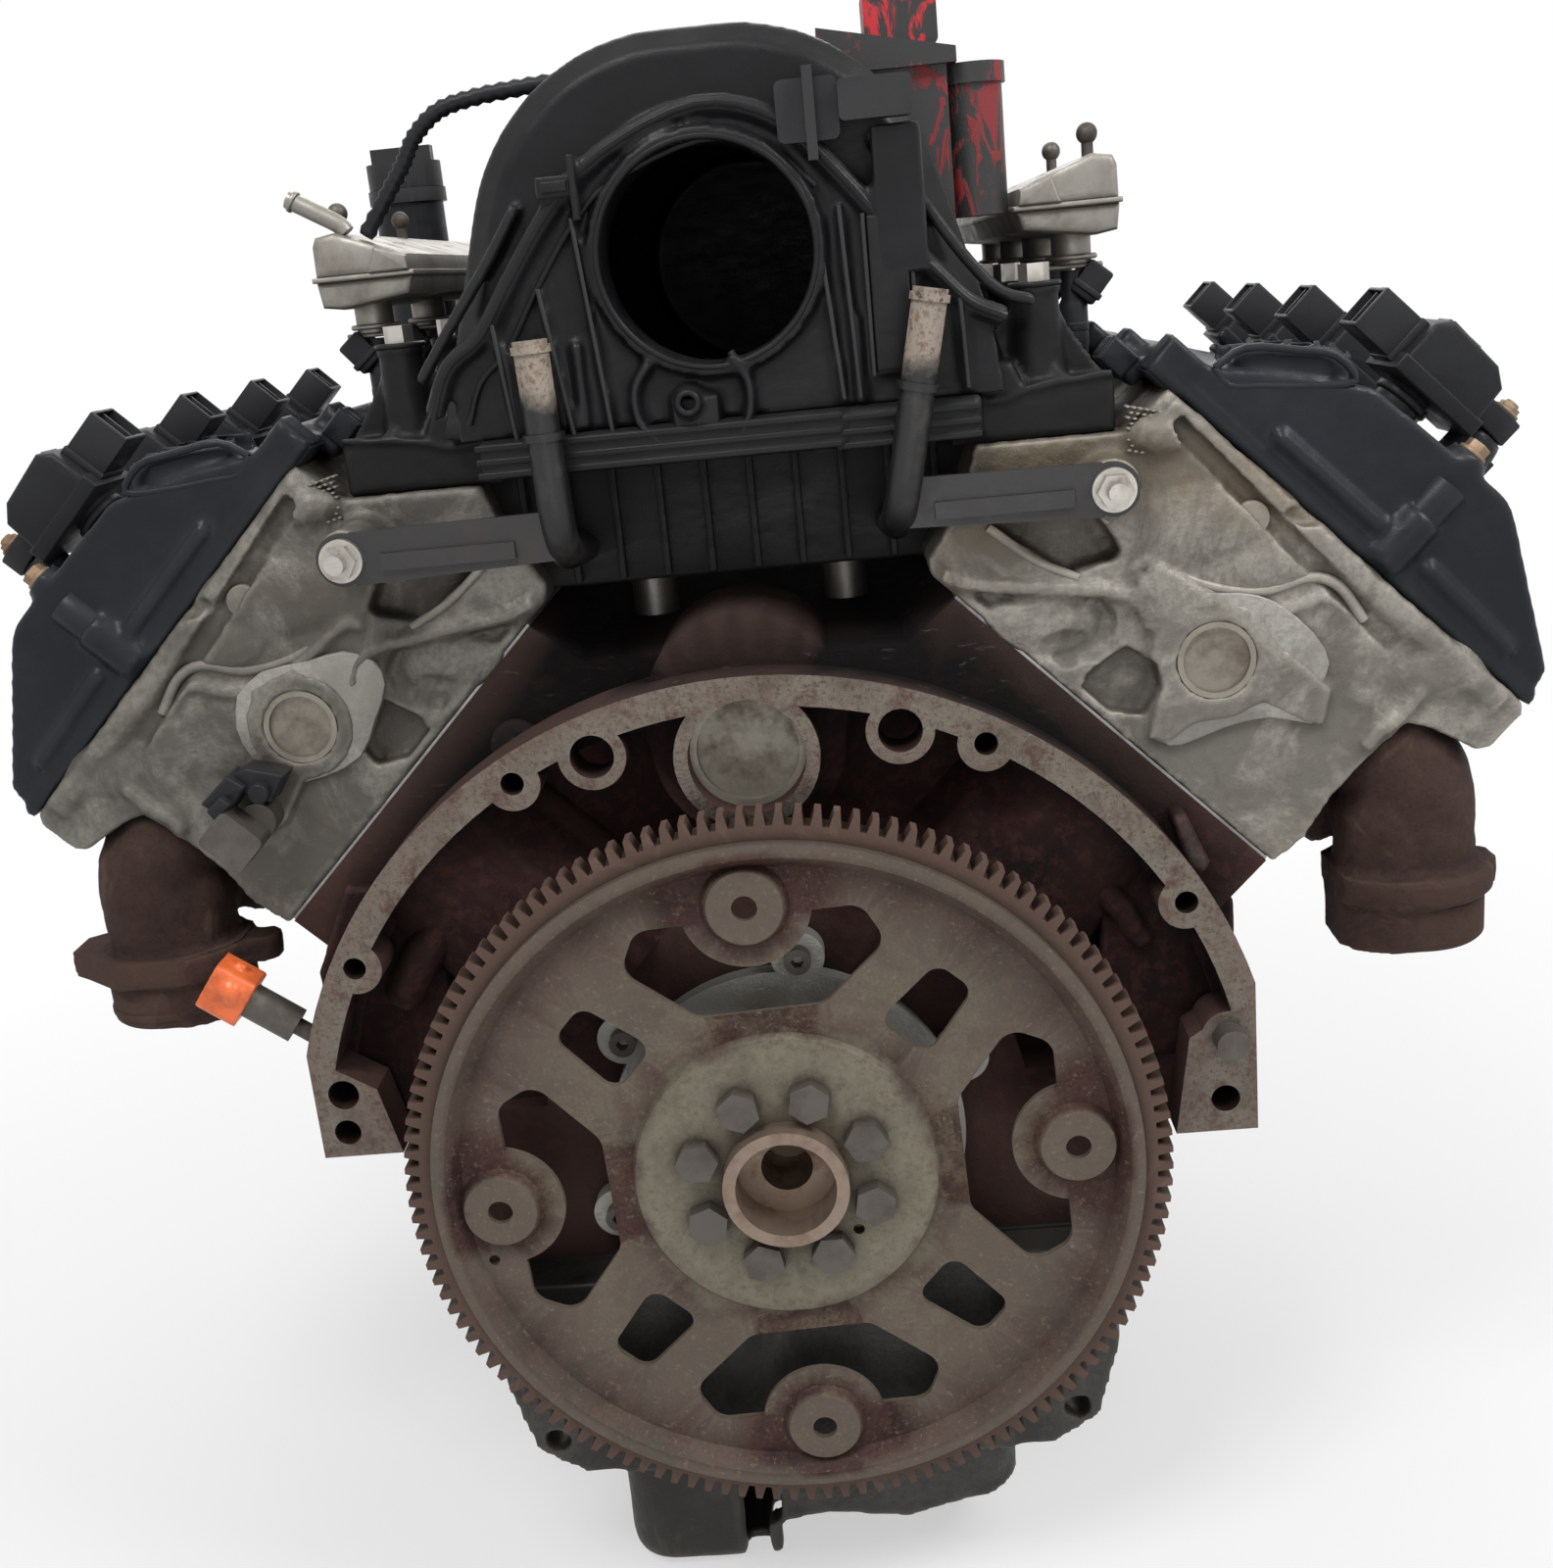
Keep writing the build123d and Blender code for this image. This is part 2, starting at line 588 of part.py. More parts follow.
def seal_retainer():
    """Light cover round the back of the crankshaft, cut off level with the pan rail."""
    outline = Circle(81)
    for k in range(6):
        outline += Pos(*polar(88, 82 + 60 * k)) * Circle(12)
    outline &= Pos(0, PAN_RAIL + 100) * Rectangle(300, 200)
    outline -= Circle(CRANK_FLANGE + SEAL_WIDTH)
    rear = BELL_DEPTH - RETAINER
    screws = []
    for k in (0, 1, 2, 5):
        x, z = polar(88, 82 + 60 * k)
        screws.append(slab(Pos(x, z) * (Circle(6) - hexagon(5)), rear - 6, rear))
    return slab(outline, rear, BELL_DEPTH), screws


def rear_seal():
    return tube(0, 0, CRANK_FLANGE + SEAL_WIDTH, CRANK_FLANGE + RUNNING_GAP, BELL_DEPTH - RETAINER, BELL_DEPTH)


def rear_plug():
    """Cup plug behind the camshaft."""
    cup = rod(0, CAM_HEIGHT, PLUG_BORE, PLUG_REAR, PLUG_FRONT)
    cup -= rod(0, CAM_HEIGHT, PLUG_BORE - 3, PLUG_REAR, PLUG_REAR + 4)
    return cup


# Camshaft and its drive


def camshaft():
    rear, front = PLUG_FRONT + 4, BLOCK_FRONT + CHAIN_BACK + SPROCKET_WIDTH
    shaft = rod(0, CAM_HEIGHT, CAM_JOURNAL - 11, rear, front)
    for k in range(CYLINDERS + 1):
        shaft += rod(0, CAM_HEIGHT, CAM_JOURNAL, main_y(k) - 9, main_y(k) + 9)
    for k in range(CYLINDERS):
        for step, turn in ((-30, 20), (-10, 110), (10, 200), (30, 290)):
            lobe = Pos(0, CAM_HEIGHT) * Rot(0, 0, turn + 90 * k) * lobe_face()
            shaft += slab(lobe, pin_y(k) + step - 6, pin_y(k) + step + 6)
    return shaft


def lobe_face():
    """Round heel and a nose that lifts on one side."""
    heel = [polar(LOBE_RADIUS, angle) for angle in range(90, 271, 60)]
    return polygon(heel + [(LOBE_RADIUS + LOBE_LIFT - 3, -8), (LOBE_RADIUS + LOBE_LIFT, 0),
                           (LOBE_RADIUS + LOBE_LIFT - 3, 8)])


def cam_bearings():
    outer = CAM_JOURNAL + RUNNING_GAP + CAM_BEARING_WALL
    return [tube(0, CAM_HEIGHT, outer, CAM_JOURNAL + RUNNING_GAP, main_y(k) - 9, main_y(k) + 9)
            for k in range(CYLINDERS + 1)]


def sprocket(teeth, z, bore):
    """Teeth stay inside the chain, which clears their tips."""
    radius = sprocket_radius(teeth)
    face = gear_face(teeth, radius - 4.5, radius - 0.5, bore, 0.7, 0.35)
    start = BLOCK_FRONT + CHAIN_BACK
    return Pos(0, 0, z) * slab(face, start, start + SPROCKET_WIDTH)


def timing_chain():
    """Link blocks along the two arcs and the two straight runs between them."""
    small, large = sprocket_radius(CRANK_TEETH), sprocket_radius(CAM_TEETH)
    lean = asin((large - small) / CAM_HEIGHT)
    straight = CAM_HEIGHT * cos(lean)
    top, bottom = large * (pi + 2 * lean), small * (pi - 2 * lean)
    total = 2 * straight + top + bottom
    count = round(total / CHAIN_PITCH)
    links = []
    for k in range(count):
        along = k * total / count
        if along < straight:
            share = along / straight
            angle = -lean
            centre, radius = share * CAM_HEIGHT, small + share * (large - small)
        elif along < straight + top:
            angle = -lean + (along - straight) / large
            centre, radius = CAM_HEIGHT, large
        elif along < 2 * straight + top:
            share = 1 - (along - straight - top) / straight
            angle = pi + lean
            centre, radius = share * CAM_HEIGHT, small + share * (large - small)
        else:
            angle = pi + lean + (along - 2 * straight - top) / small
            centre, radius = 0, small
        middle = radius + CHAIN_HEIGHT / 2
        place = Pos(middle * cos(angle), centre + middle * sin(angle)) * Rot(0, 0, angle * 180 / pi)
        start = BLOCK_FRONT + CHAIN_BACK
        links.append(slab(place * Rectangle(CHAIN_HEIGHT, CHAIN_PITCH - 0.6), start, start + SPROCKET_WIDTH))
    return links


# Front end


def timing_cover():
    outer = slab(front_outline(), BLOCK_FRONT, BLOCK_FRONT + COVER_DEPTH)
    inner = slab(offset(front_outline(), -COVER_WALL), BLOCK_FRONT, BLOCK_FRONT + COVER_DEPTH - COVER_WALL)
    mouth = block_of(-cover_radius(), cover_radius(), BLOCK_FRONT, BLOCK_FRONT + COVER_DEPTH - COVER_WALL,
                     PAN_RAIL, PAN_RAIL + 2 * COVER_WALL)
    return outer - inner - mouth - rod(0, 0, SEAL_OUTER, BLOCK_FRONT, DAMPER_FRONT)


def front_seal():
    back = BLOCK_FRONT + COVER_DEPTH - COVER_WALL
    return tube(0, 0, SEAL_OUTER, HUB_RADIUS + RUNNING_GAP, back, back + COVER_WALL)


def oil_pump():
    """Pump plate on the block behind the chain, with a foot for the pickup pipe."""
    body = slab(rounded([(-52, -52), (52, -52), (52, 46), (-52, 46)], 18), BLOCK_FRONT, BLOCK_FRONT + 5)
    body += block_of(16, 44, BLOCK_FRONT, BLOCK_FRONT + 24, PAN_RAIL, PAN_RAIL + 18)
    return body - rod(0, 0, SNOUT + 2, BLOCK_FRONT, BLOCK_FRONT + 5)


def oil_pickup():
    """Pipe from under the pump, back along the sump, to a round strainer."""
    x, y, low = 30, BLOCK_FRONT + 12, PAN_STEP + 25
    path = FilletPolyline((x, y, PAN_RAIL), (x, y, low), (0, PICKUP_Y, low), (0, PICKUP_Y, SUMP_BOTTOM + 36),
                          radius=22)
    pipe = sweep(Plane(origin=(x, y, PAN_RAIL), z_dir=(0, 0, -1)) * Circle(PICKUP_RADIUS), path=path)
    return pipe + post(0, PICKUP_Y, 34, SUMP_BOTTOM + 21, SUMP_BOTTOM + 36)


def damper():
    """Hub, rubber ring and outer ring with its belt grooves."""
    back = BLOCK_FRONT + COVER_DEPTH + 4
    front = back + DAMPER_WIDTH
    hub = tube(0, 0, HUB_RADIUS, SNOUT, BLOCK_FRONT + CHAIN_BACK + SPROCKET_WIDTH, front - 8)
    hub += tube(0, 0, DAMPER_RADIUS - 22, SNOUT, back + 10, back + 18)
    hub += tube(0, 0, DAMPER_RADIUS - 20, DAMPER_RADIUS - 28, back, front)
    rubber = tube(0, 0, DAMPER_RADIUS - 16, DAMPER_RADIUS - 20, back, front)
    grooves = [(DAMPER_RADIUS - 16, back), (DAMPER_RADIUS, back)]
    for k in range(5):
        y = back + 12 + 6 * k
        grooves += [(DAMPER_RADIUS, y), (DAMPER_RADIUS - 4, y + 3)]
    grooves += [(DAMPER_RADIUS, back + 42), (DAMPER_RADIUS, front), (DAMPER_RADIUS - 16, front)]
    ring = revolve(Plane.XY * polygon([(radius, y) for radius, y in grooves]), Axis.Y)
    return hub, rubber, ring


def damper_bolt():
    return (slab(hexagon(24), DAMPER_FRONT - 8, DAMPER_FRONT + 4)
            + rod(0, 0, HUB_RADIUS - 2, DAMPER_FRONT - 8, DAMPER_FRONT - 5)
            + rod(0, 0, SNOUT / 2, DAMPER_FRONT - 12, DAMPER_FRONT - 8))


def water_pump():
    """Housing with its two legs, a bearing in the snout, and the rotor with shaft and pulley."""
    back = BLOCK_FRONT + COVER_DEPTH
    housing = rod(0, PUMP_HEIGHT, 58, back, back + 26)
    for side in (1, -1):
        leg = rounded([(0, PUMP_HEIGHT - 24), (side * 96, PUMP_HEIGHT - 40), (side * 118, PUMP_HEIGHT - 12),
                       (side * 96, PUMP_HEIGHT + 16), (0, PUMP_HEIGHT + 24)], 8)
        housing += slab(leg, back, back + 24)
        housing += rod(side * 100, PUMP_HEIGHT - 12, 17, BLOCK_FRONT, back + 24)
    housing += rod(0, PUMP_HEIGHT, 24, back + 26, back + 44)
    housing += post(OUTLET_POST[0], OUTLET_POST[1], 13, PUMP_HEIGHT, PUMP_HEIGHT + 78)
    housing -= rod(0, PUMP_HEIGHT, 48, back + 5, back + 20)
    housing -= rod(0, PUMP_HEIGHT, PUMP_BEARING, back + 20, back + 44)
    bearing = tube(0, PUMP_HEIGHT, PUMP_BEARING, PUMP_SHAFT + RUNNING_GAP, back + 24, back + 44)
    rotor = rod(0, PUMP_HEIGHT, PUMP_SHAFT, back + 10, back + 62)
    rotor += rod(0, PUMP_HEIGHT, 40, back + 7, back + 10)
    for k in range(6):
        vane = Pos(0, PUMP_HEIGHT) * Rot(0, 0, 60 * k) * Pos(25, 0) * Rectangle(28, 3)
        rotor += slab(vane, back + 10, back + 18)
    rotor += tube(0, PUMP_HEIGHT, 20, PUMP_SHAFT, back + 46, back + 62)
    rotor += tube(0, PUMP_HEIGHT, PUMP_PULLEY, PUMP_SHAFT, back + 46, back + 50)
    rotor += tube(0, PUMP_HEIGHT, PUMP_PULLEY, PUMP_PULLEY - 4, back + 50, back + 70)
    return housing, bearing, rotor


def thermostat_housing():
    """Outlet elbow on top of the pump."""
    base = PUMP_HEIGHT + 78
    x, y = OUTLET_POST
    foot = rounded([(-30, -15), (30, -15), (30, 15), (-30, 15)], 12)
    body = extrude(Plane.XY.offset(base) * Pos(x, y) * foot, 10)
    body += post(x, y, 17, base, base + 30)
    body += rod(x, base + 28, 15, y, y + 19) + rod(x, base + 28, OUTLET_PIPE, y + 19, y + 42)
    return body - rod(x, base + 28, 12, y + 10, y + 42)


# Cylinder heads and covers


def head_section():
    """Back face of the right head, in X and Z."""
    foot_in = bank_point(DECK_HEIGHT + GASKET, -118, 0)
    foot_out = bank_point(DECK_HEIGHT + GASKET, HEAD_FACE_S + 1.5, 0)
    seat_out = bank_point(COVER_SEAT, 110, 0)
    seat_in = bank_point(COVER_SEAT, -94, 0)
    outboard = lifted([(237.5, 122), (247.5, 137.5), (262, 152.5), (271, 161), (280, 168.5), (291, 165),
                       (310, 153.7), (316, 155), (328, 168)])
    inboard = lifted([(165, 302), (105, 302), (95, 275), (82.5, 257.5)])
    ends = [(foot_in[0], foot_in[2]), (foot_out[0], foot_out[2])]
    return polygon(ends + outboard + [(seat_out[0], seat_out[2]), (seat_in[0], seat_in[2])] + inboard)


def star_pad():
    """Machined pad round the core plug on the right head."""
    return polygon(lifted([
        (169, 242), (179, 245), (200, 227.5), (217.5, 224), (226, 207.5), (247.5, 187.5), (244, 172),
        (236, 174), (219, 184.5), (209, 179.5), (190, 177.5), (177.5, 169), (171, 172.5), (176, 195),
        (172.5, 206), (175, 220), (167.5, 227.5),
    ]))


def cylinder_head(side):
    body = slab(head_section(), HEAD_REAR, HEAD_FRONT)
    plug_x, plug_z = CORE_PLUG_AT
    if side > 0:
        body += slab(star_pad(), HEAD_REAR - 4, HEAD_REAR)
    else:
        body += rod(plug_x, plug_z, 24, HEAD_REAR - 4, HEAD_REAR)
        flat = lifted([(196, 190), (222, 192), (240, 172), (238, 150), (214, 160)])
        body += slab(polygon(flat), HEAD_REAR - 4, HEAD_REAR)
    recess = rounded(lifted([(104, 274), (143, 246), (164, 251), (154, 269)]), 4)
    body -= slab(recess, HEAD_REAR, HEAD_REAR + 14)
    panel = rounded(lifted([(88, 251), (150, 238), (160, 226), (157, 216), (138, 204)]), 5)
    body -= slab(panel, HEAD_REAR, HEAD_REAR + 4)
    pocket = rounded(lifted([(142, 200), (163, 213), (170, 200), (166, 184)]), 4)
    body -= slab(pocket, HEAD_REAR, HEAD_REAR + 8)
    middle_y = (HEAD_REAR + HEAD_FRONT) / 2
    body -= along_t(Rectangle(HEAD_FRONT - HEAD_REAR - 24, 168), 4, middle_y, COVER_SEAT - 50, COVER_SEAT)
    reach = STRAP_STANDOFF if side > 0 else STRAP_STANDOFF + BANK_LEAD
    body += rod(STRAP_BOLT[0], STRAP_BOLT[1], 12, HEAD_REAR - reach, HEAD_REAR)
    body -= rod(plug_x, plug_z, CORE_PLUG, HEAD_REAR - 4, HEAD_REAR + 6)
    for k in range(CYLINDERS):
        boss = along_s(Rectangle(58, 48), PORT_T, bore_y(k), HEAD_FACE_S - 20, HEAD_FACE_S + PORT_BOSS)
        body += boss
        body -= along_s(Circle(PORT_RADIUS), PORT_T, bore_y(k), HEAD_FACE_S - 20, HEAD_FACE_S + PORT_BOSS)
    return to_bank(body, side)


def head_plugs():
    x, z = CORE_PLUG_AT
    plug = rod(x, z, CORE_PLUG, HEAD_REAR - 3, HEAD_REAR + 4)
    plug -= rod(x, z, CORE_PLUG - 2.5, HEAD_REAR - 3, HEAD_REAR - 1)
    return [to_bank(plug, side) for side in SIDES.values()]


def head_gasket(side):
    middle = (DECK_INNER + DECK_OUTER) / 2
    length = BANK_FRONT - BLOCK_REAR - 4
    sheet = along_t(Rectangle(length, DECK_OUTER - DECK_INNER), middle, (BANK_FRONT + BLOCK_REAR) / 2,
                    DECK_HEIGHT, DECK_HEIGHT + GASKET)
    for k in range(CYLINDERS):
        sheet -= along_t(Circle(BORE / 2 + 1), 0, bore_y(k), DECK_HEIGHT, DECK_HEIGHT + GASKET)
    return to_bank(sheet, side)


def cover_envelope():
    face = make_face(FilletPolyline(*COVER_PROFILE, radius=COVER_BENDS, close=True))
    return bank_slab(face, HEAD_REAR + COVER_INSET, HEAD_FRONT - COVER_INSET)


def cover_hollow():
    face = make_face(FilletPolyline(*COVER_PROFILE, radius=COVER_BENDS, close=True))
    inner = offset(face, -COVER_SHEET)
    inner += Pos(COVER_SEAT + COVER_SHEET, 4) * Rectangle(2 * COVER_SHEET, 204)
    return bank_slab(inner, HEAD_REAR + COVER_INSET + COVER_SHEET, HEAD_FRONT - COVER_INSET - COVER_SHEET)


def valve_cover(side):
    body = cover_envelope()
    middle_y = (HEAD_FRONT + HEAD_REAR) / 2
    body += along_t(Rectangle(HEAD_FRONT - HEAD_REAR, 218), 4, middle_y, COVER_SEAT, COVER_SEAT + 6)
    for y in (HEAD_REAR + 12, HEAD_FRONT - 12):
        body += along_t(Circle(9), 22, y, COVER_SEAT + 6, COVER_SEAT + 60) & bank_slab(
            Pos(COVER_SEAT + 30, 22) * Rectangle(60, 40), HEAD_REAR, HEAD_FRONT)
    body -= cover_hollow()
    for k in range(CYLINDERS):
        y = bore_y(k) + COIL_Y
        body += along_t(Circle(PILLAR), PILLAR_S, y, COVER_SEAT + 52, PILLAR_TOP) - cover_hollow()
    return to_bank(body, side)


def ignition_coils(side):
    """Coil bodies across the bank, each with its plug socket, its tower and its eye for the bolt."""
    coils = []
    low = COVER_SEAT + 68
    section = polygon([(low, -22), (low + 26, -22), (low + 32, -15), (low + 30, 16), (low + 21, 24), (low, 24)])
    for k in range(CYLINDERS):
        y = bore_y(k) + COIL_Y
        body = bank_slab(section, y - 21, y + 21)
        body += along_s(Rectangle(24, 20), low + 13, y, -45, -22)
        body -= along_s(Rectangle(20, 16), low + 13, y, -45, -33)
        body += along_t(Circle(11), -4, y, low - 11.5, low)
        body += bank_slab(Pos(low + 14, 34) * Rectangle(12, 20), y - 9, y + 9)
        coils.append(to_bank(body, side))
    return coils


def coil_bolts():
    bolts = []
    for side in SIDES.values():
        for k in range(CYLINDERS):
            screw = along_t(hexagon(9), PILLAR_S, bore_y(k) + COIL_Y, PILLAR_TOP + 12, PILLAR_TOP + 16)
            bolts.append(to_bank(screw, side))
    return bolts


def cover_bolts():
    bolts = []
    for side in SIDES.values():
        for y in (HEAD_REAR + 12, HEAD_FRONT - 12):
            bolts.append(to_bank(along_t(hexagon(10), 22, y, COVER_SEAT + 60, COVER_SEAT + 66), side))
    return bolts


# Intake


def intake_arch(inset=0):
    """Outline of the runners from behind: a round top that flares down to the ports."""
    x, z = THROTTLE_X, THROTTLE_Z
    foot, shoulder, bend = DOME_RADIUS + 34 - inset, DOME_RADIUS - 10 - inset, DOME_RADIUS - inset
    return make_face(FilletPolyline(
        (x - foot, BASE_TOP), (x - shoulder, z + bend), (x + shoulder, z + bend), (x + foot, BASE_TOP),
        radius=[1, bend, bend, 1], close=True))


def runner(y):
    """One runner, a broad arch with sloping edges."""
    slope = 9
    rise = loft([xz(y) * intake_arch(slope), xz(y + slope) * intake_arch()], ruled=True)
    end = y + RUNNER_WIDTH
    fall = loft([xz(end - slope) * intake_arch(), xz(end) * intake_arch(slope)], ruled=True)
    return rise + slab(intake_arch(), y + slope, end - slope) + fall


def plenum_face():
    """The flat back of the plenum, round the throttle opening."""
    x, z = THROTTLE_X, THROTTLE_Z
    shoulder = polygon([(x - 108, BASE_TOP), (x - 108, z - 34), (x - 52, z + 29), (x + 46, z + 37),
                        (x + 110, z - 35), (x + 114, BASE_TOP)])
    return shoulder + Pos(x, z) * Circle(56)


def intake_manifold():
    front = RUNNER_START + 7 * BORE_SPACING / 2 + RUNNER_WIDTH
    body = slab(intake_arch(10), INTAKE_REAR + 16, front)
    for k in range(2 * CYLINDERS):
        body += runner(RUNNER_START + k * BORE_SPACING / 2)
    body += slab(plenum_face(), INTAKE_REAR, INTAKE_REAR + 16)
    body += tube(THROTTLE_X, THROTTLE_Z, THROTTLE_RADIUS + 5, THROTTLE_RADIUS, INTAKE_REAR - 6, INTAKE_REAR)
    body += slab(Pos(81, THROTTLE_Z + 13) * Rectangle(20, 56), INTAKE_REAR - 6, INTAKE_REAR)
    body += slab(Pos(THROTTLE_X - 13, BASE_TOP + 8) * Circle(5.5), INTAKE_REAR - 12, INTAKE_REAR)
    for x in (-80, -52, 60):
        body += slab(Pos(x, BASE_TOP + 18) * Rectangle(3, 34), INTAKE_REAR - 4, INTAKE_REAR)
    body -= rod(THROTTLE_X, THROTTLE_Z, THROTTLE_RADIUS, INTAKE_REAR - 6, INTAKE_REAR + 30)
    body -= rod(THROTTLE_X, THROTTLE_Z, 62, INTAKE_REAR + 30, front - 12)
    return body


def intake_base():
    """Lower half: a flat slab between the heads, a foot over each port and bolt towers."""
    rear, front = INTAKE_REAR + 2, 478
    body = block_of(-96, 108, rear - 6, front, INTAKE_SEAT + 5, BASE_TOP)
    for side in SIDES.values():
        lead = 0 if side > 0 else BANK_LEAD
        rail = polygon([(96, INTAKE_SEAT), (163 + RISE, INTAKE_SEAT), (163 + RISE, FOOT_TOP - 7),
                        (146 + RISE, FOOT_TOP - 7), (140 + RISE, FOOT_TOP - 2), (TOWER_X, BASE_TOP), (96, BASE_TOP)])
        body += Pos(0, lead, 0) * mirror_x(slab(rail, HEAD_REAR + 4, HEAD_FRONT - 30), side)
        for k in range(CYLINDERS):
            y = bore_y(k) + 5 + lead
            body -= post(side * INJECTOR_X, y, INJECTOR_RADIUS, FOOT_TOP - 20, FOOT_TOP)
        for k in range(CYLINDERS + 1):
            body += post(side * TOWER_X, tower_y(k) + lead, TOWER_RADIUS, BASE_TOP - 12, TOWER_TOP)
    return body


def tower_y(k):
    return HEAD_REAR + 16 + k * BORE_SPACING * 0.94


def mirror_x(shape, side):
    return shape if side > 0 else mirror(shape, about=Plane.YZ)


def intake_bolts():
    bolts = []
    for side in SIDES.values():
        lead = 0 if side > 0 else BANK_LEAD
        for k in range(CYLINDERS + 1):
            head = Plane.XY.offset(TOWER_TOP) * Pos(side * TOWER_X, tower_y(k) + lead) * hexagon(11)
            bolts.append(extrude(head, 8))
    return bolts


# Fuel system


def fuel_rail(side):
    lead = 0 if side > 0 else BANK_LEAD
    section = rounded([(RAIL_INNER, RAIL_BOTTOM), (RAIL_OUTER, RAIL_BOTTOM), (RAIL_OUTER, RAIL_TOP),
                       (RAIL_OUTER - 9, RAIL_TOP), (RAIL_INNER, RAIL_TOP - 19)], 3)
    body = slab(section, RAIL_REAR, RAIL_REAR + RAIL_LENGTH)
    for k in range(CYLINDERS):
        body += post(INJECTOR_X, bore_y(k) + 5, 8.5, RAIL_BOTTOM - 12, RAIL_BOTTOM + 2)
    body = Pos(0, lead, 0) * mirror_x(body, side)
    return body if side > 0 else body + inlet_tube()


def fuel_injectors():
    bodies, rings = [], []
    for side in SIDES.values():
        lead = 0 if side > 0 else BANK_LEAD
        for k in range(CYLINDERS):
            x, y = side * INJECTOR_X, bore_y(k) + 5 + lead
            body = post(x, y, INJECTOR_RADIUS, FOOT_TOP - 20, RAIL_BOTTOM - 12)
            plug = Pos(x + side * 11, y, FOOT_TOP + 20) * Rot(0, side * 40, 0) * Box(20, 12, 15)
            bodies.append(body + plug)
            rings.append(post(x, y, 8, FOOT_TOP - 7, FOOT_TOP - 3) - post(x, y, INJECTOR_RADIUS, 0, 500))
    return bodies, rings


def ball_studs():
    studs = []
    for side in SIDES.values():
        lead = 0 if side > 0 else BANK_LEAD
        for y in (86, 206):
            x = side * (RAIL_OUTER - 6)
            stud = post(x, y + lead, 2.5, RAIL_TOP, RAIL_TOP + 8)
            studs.append(stud + Pos(x, y + lead, RAIL_TOP + 10) * Sphere(4.5))
    return studs


def inlet_tube():
    """Steel stub on the left rail where the fuel line pushes on."""
    start = (-RAIL_OUTER + 5, RAIL_REAR + BANK_LEAD + 6, RAIL_TOP - 3)
    plane = Plane(origin=start, z_dir=(-0.7, -0.2, 0.68))
    return extrude(plane * Circle(4), 38)


# Coolant pipes


def heater_pipe(side, open_end=True):
    """Pipe up out of the valley behind the intake, with a bead at its open end."""
    y = HEAD_REAR - STRAP_STANDOFF - STRAP_SHEET - PIPE_RADIUS
    top, bend = raised([(90, 366), (71, 276)] if side > 0 else [(-68, 361), (-66, 276)])
    end = BANK_FRONT - 12
    start = (top[0], y, top[1])
    path = FilletPolyline(start, (bend[0], y, bend[1]), (side * 68, y + 140, 262),
                          (side * 64, end - 120, 242), (side * 64, end, 242), radius=[24, 80, 80])
    down = Vector(bend[0] - top[0], 0, bend[1] - top[1])
    plane = Plane(origin=start, z_dir=down)
    pipe = sweep(plane * Circle(PIPE_RADIUS), path=path)
    if not open_end:
        return pipe
    pipe += extrude(plane.offset(2) * Circle(PIPE_RADIUS + 1), 3)
    pipe += extrude(plane.offset(36) * Circle(PIPE_RADIUS + 1.5), 3)
    return pipe - extrude(plane * Circle(PIPE_RADIUS - PIPE_WALL), 40)


def strap(side):
    """Pressed strip from the pipe to its bolt on the head."""
    rear = HEAD_REAR - STRAP_STANDOFF - STRAP_SHEET
    x, z = STRAP_BOLT
    pipe_x = 72 if side > 0 else 67
    face = polygon([(pipe_x, z - 8), (x - 4, z - 11), (x - 4, z + 11), (pipe_x, z + 12)]) + Pos(x, z) * Circle(11)
    face -= Pos(x, z) * Circle(4)
    sheet = slab(face, rear, rear + STRAP_SHEET)
    sheet += slab(Pos(114, z - 2) * Rectangle(56, 7), rear - 2, rear)
    sheet = mirror_x(sheet, side) - heater_pipe(side, False)
    return sheet.solids().sort_by(SortBy.VOLUME)[-1]


def strap_nuts():
    nuts = []
    for side in SIDES.values():
        rear = HEAD_REAR - STRAP_STANDOFF - STRAP_SHEET
        x, z = STRAP_BOLT
        nut = slab(Pos(x, z) * hexagon(13), rear - 8, rear) + rod(x, z, 9, rear - 3, rear)
        nut += rod(x, z, 4, rear - 14, rear + STRAP_SHEET)
        nuts.append(mirror_x(nut, side))
    return nuts


# Exhaust


def port_strip(s0, s1):
    """The sealing face of all four ports, scalloped between them, from s0 to s1."""
    middle = (bore_y(0) + bore_y(CYLINDERS - 1)) / 2
    strip = along_s(Rectangle(CYLINDERS * BORE_SPACING - 60, 20), PORT_T, middle, s0, s1)
    for k in range(CYLINDERS):
        strip += along_s(RegularPolygon(PORT_RADIUS + 7, 8), PORT_T, bore_y(k), s0, s1)
    return strip


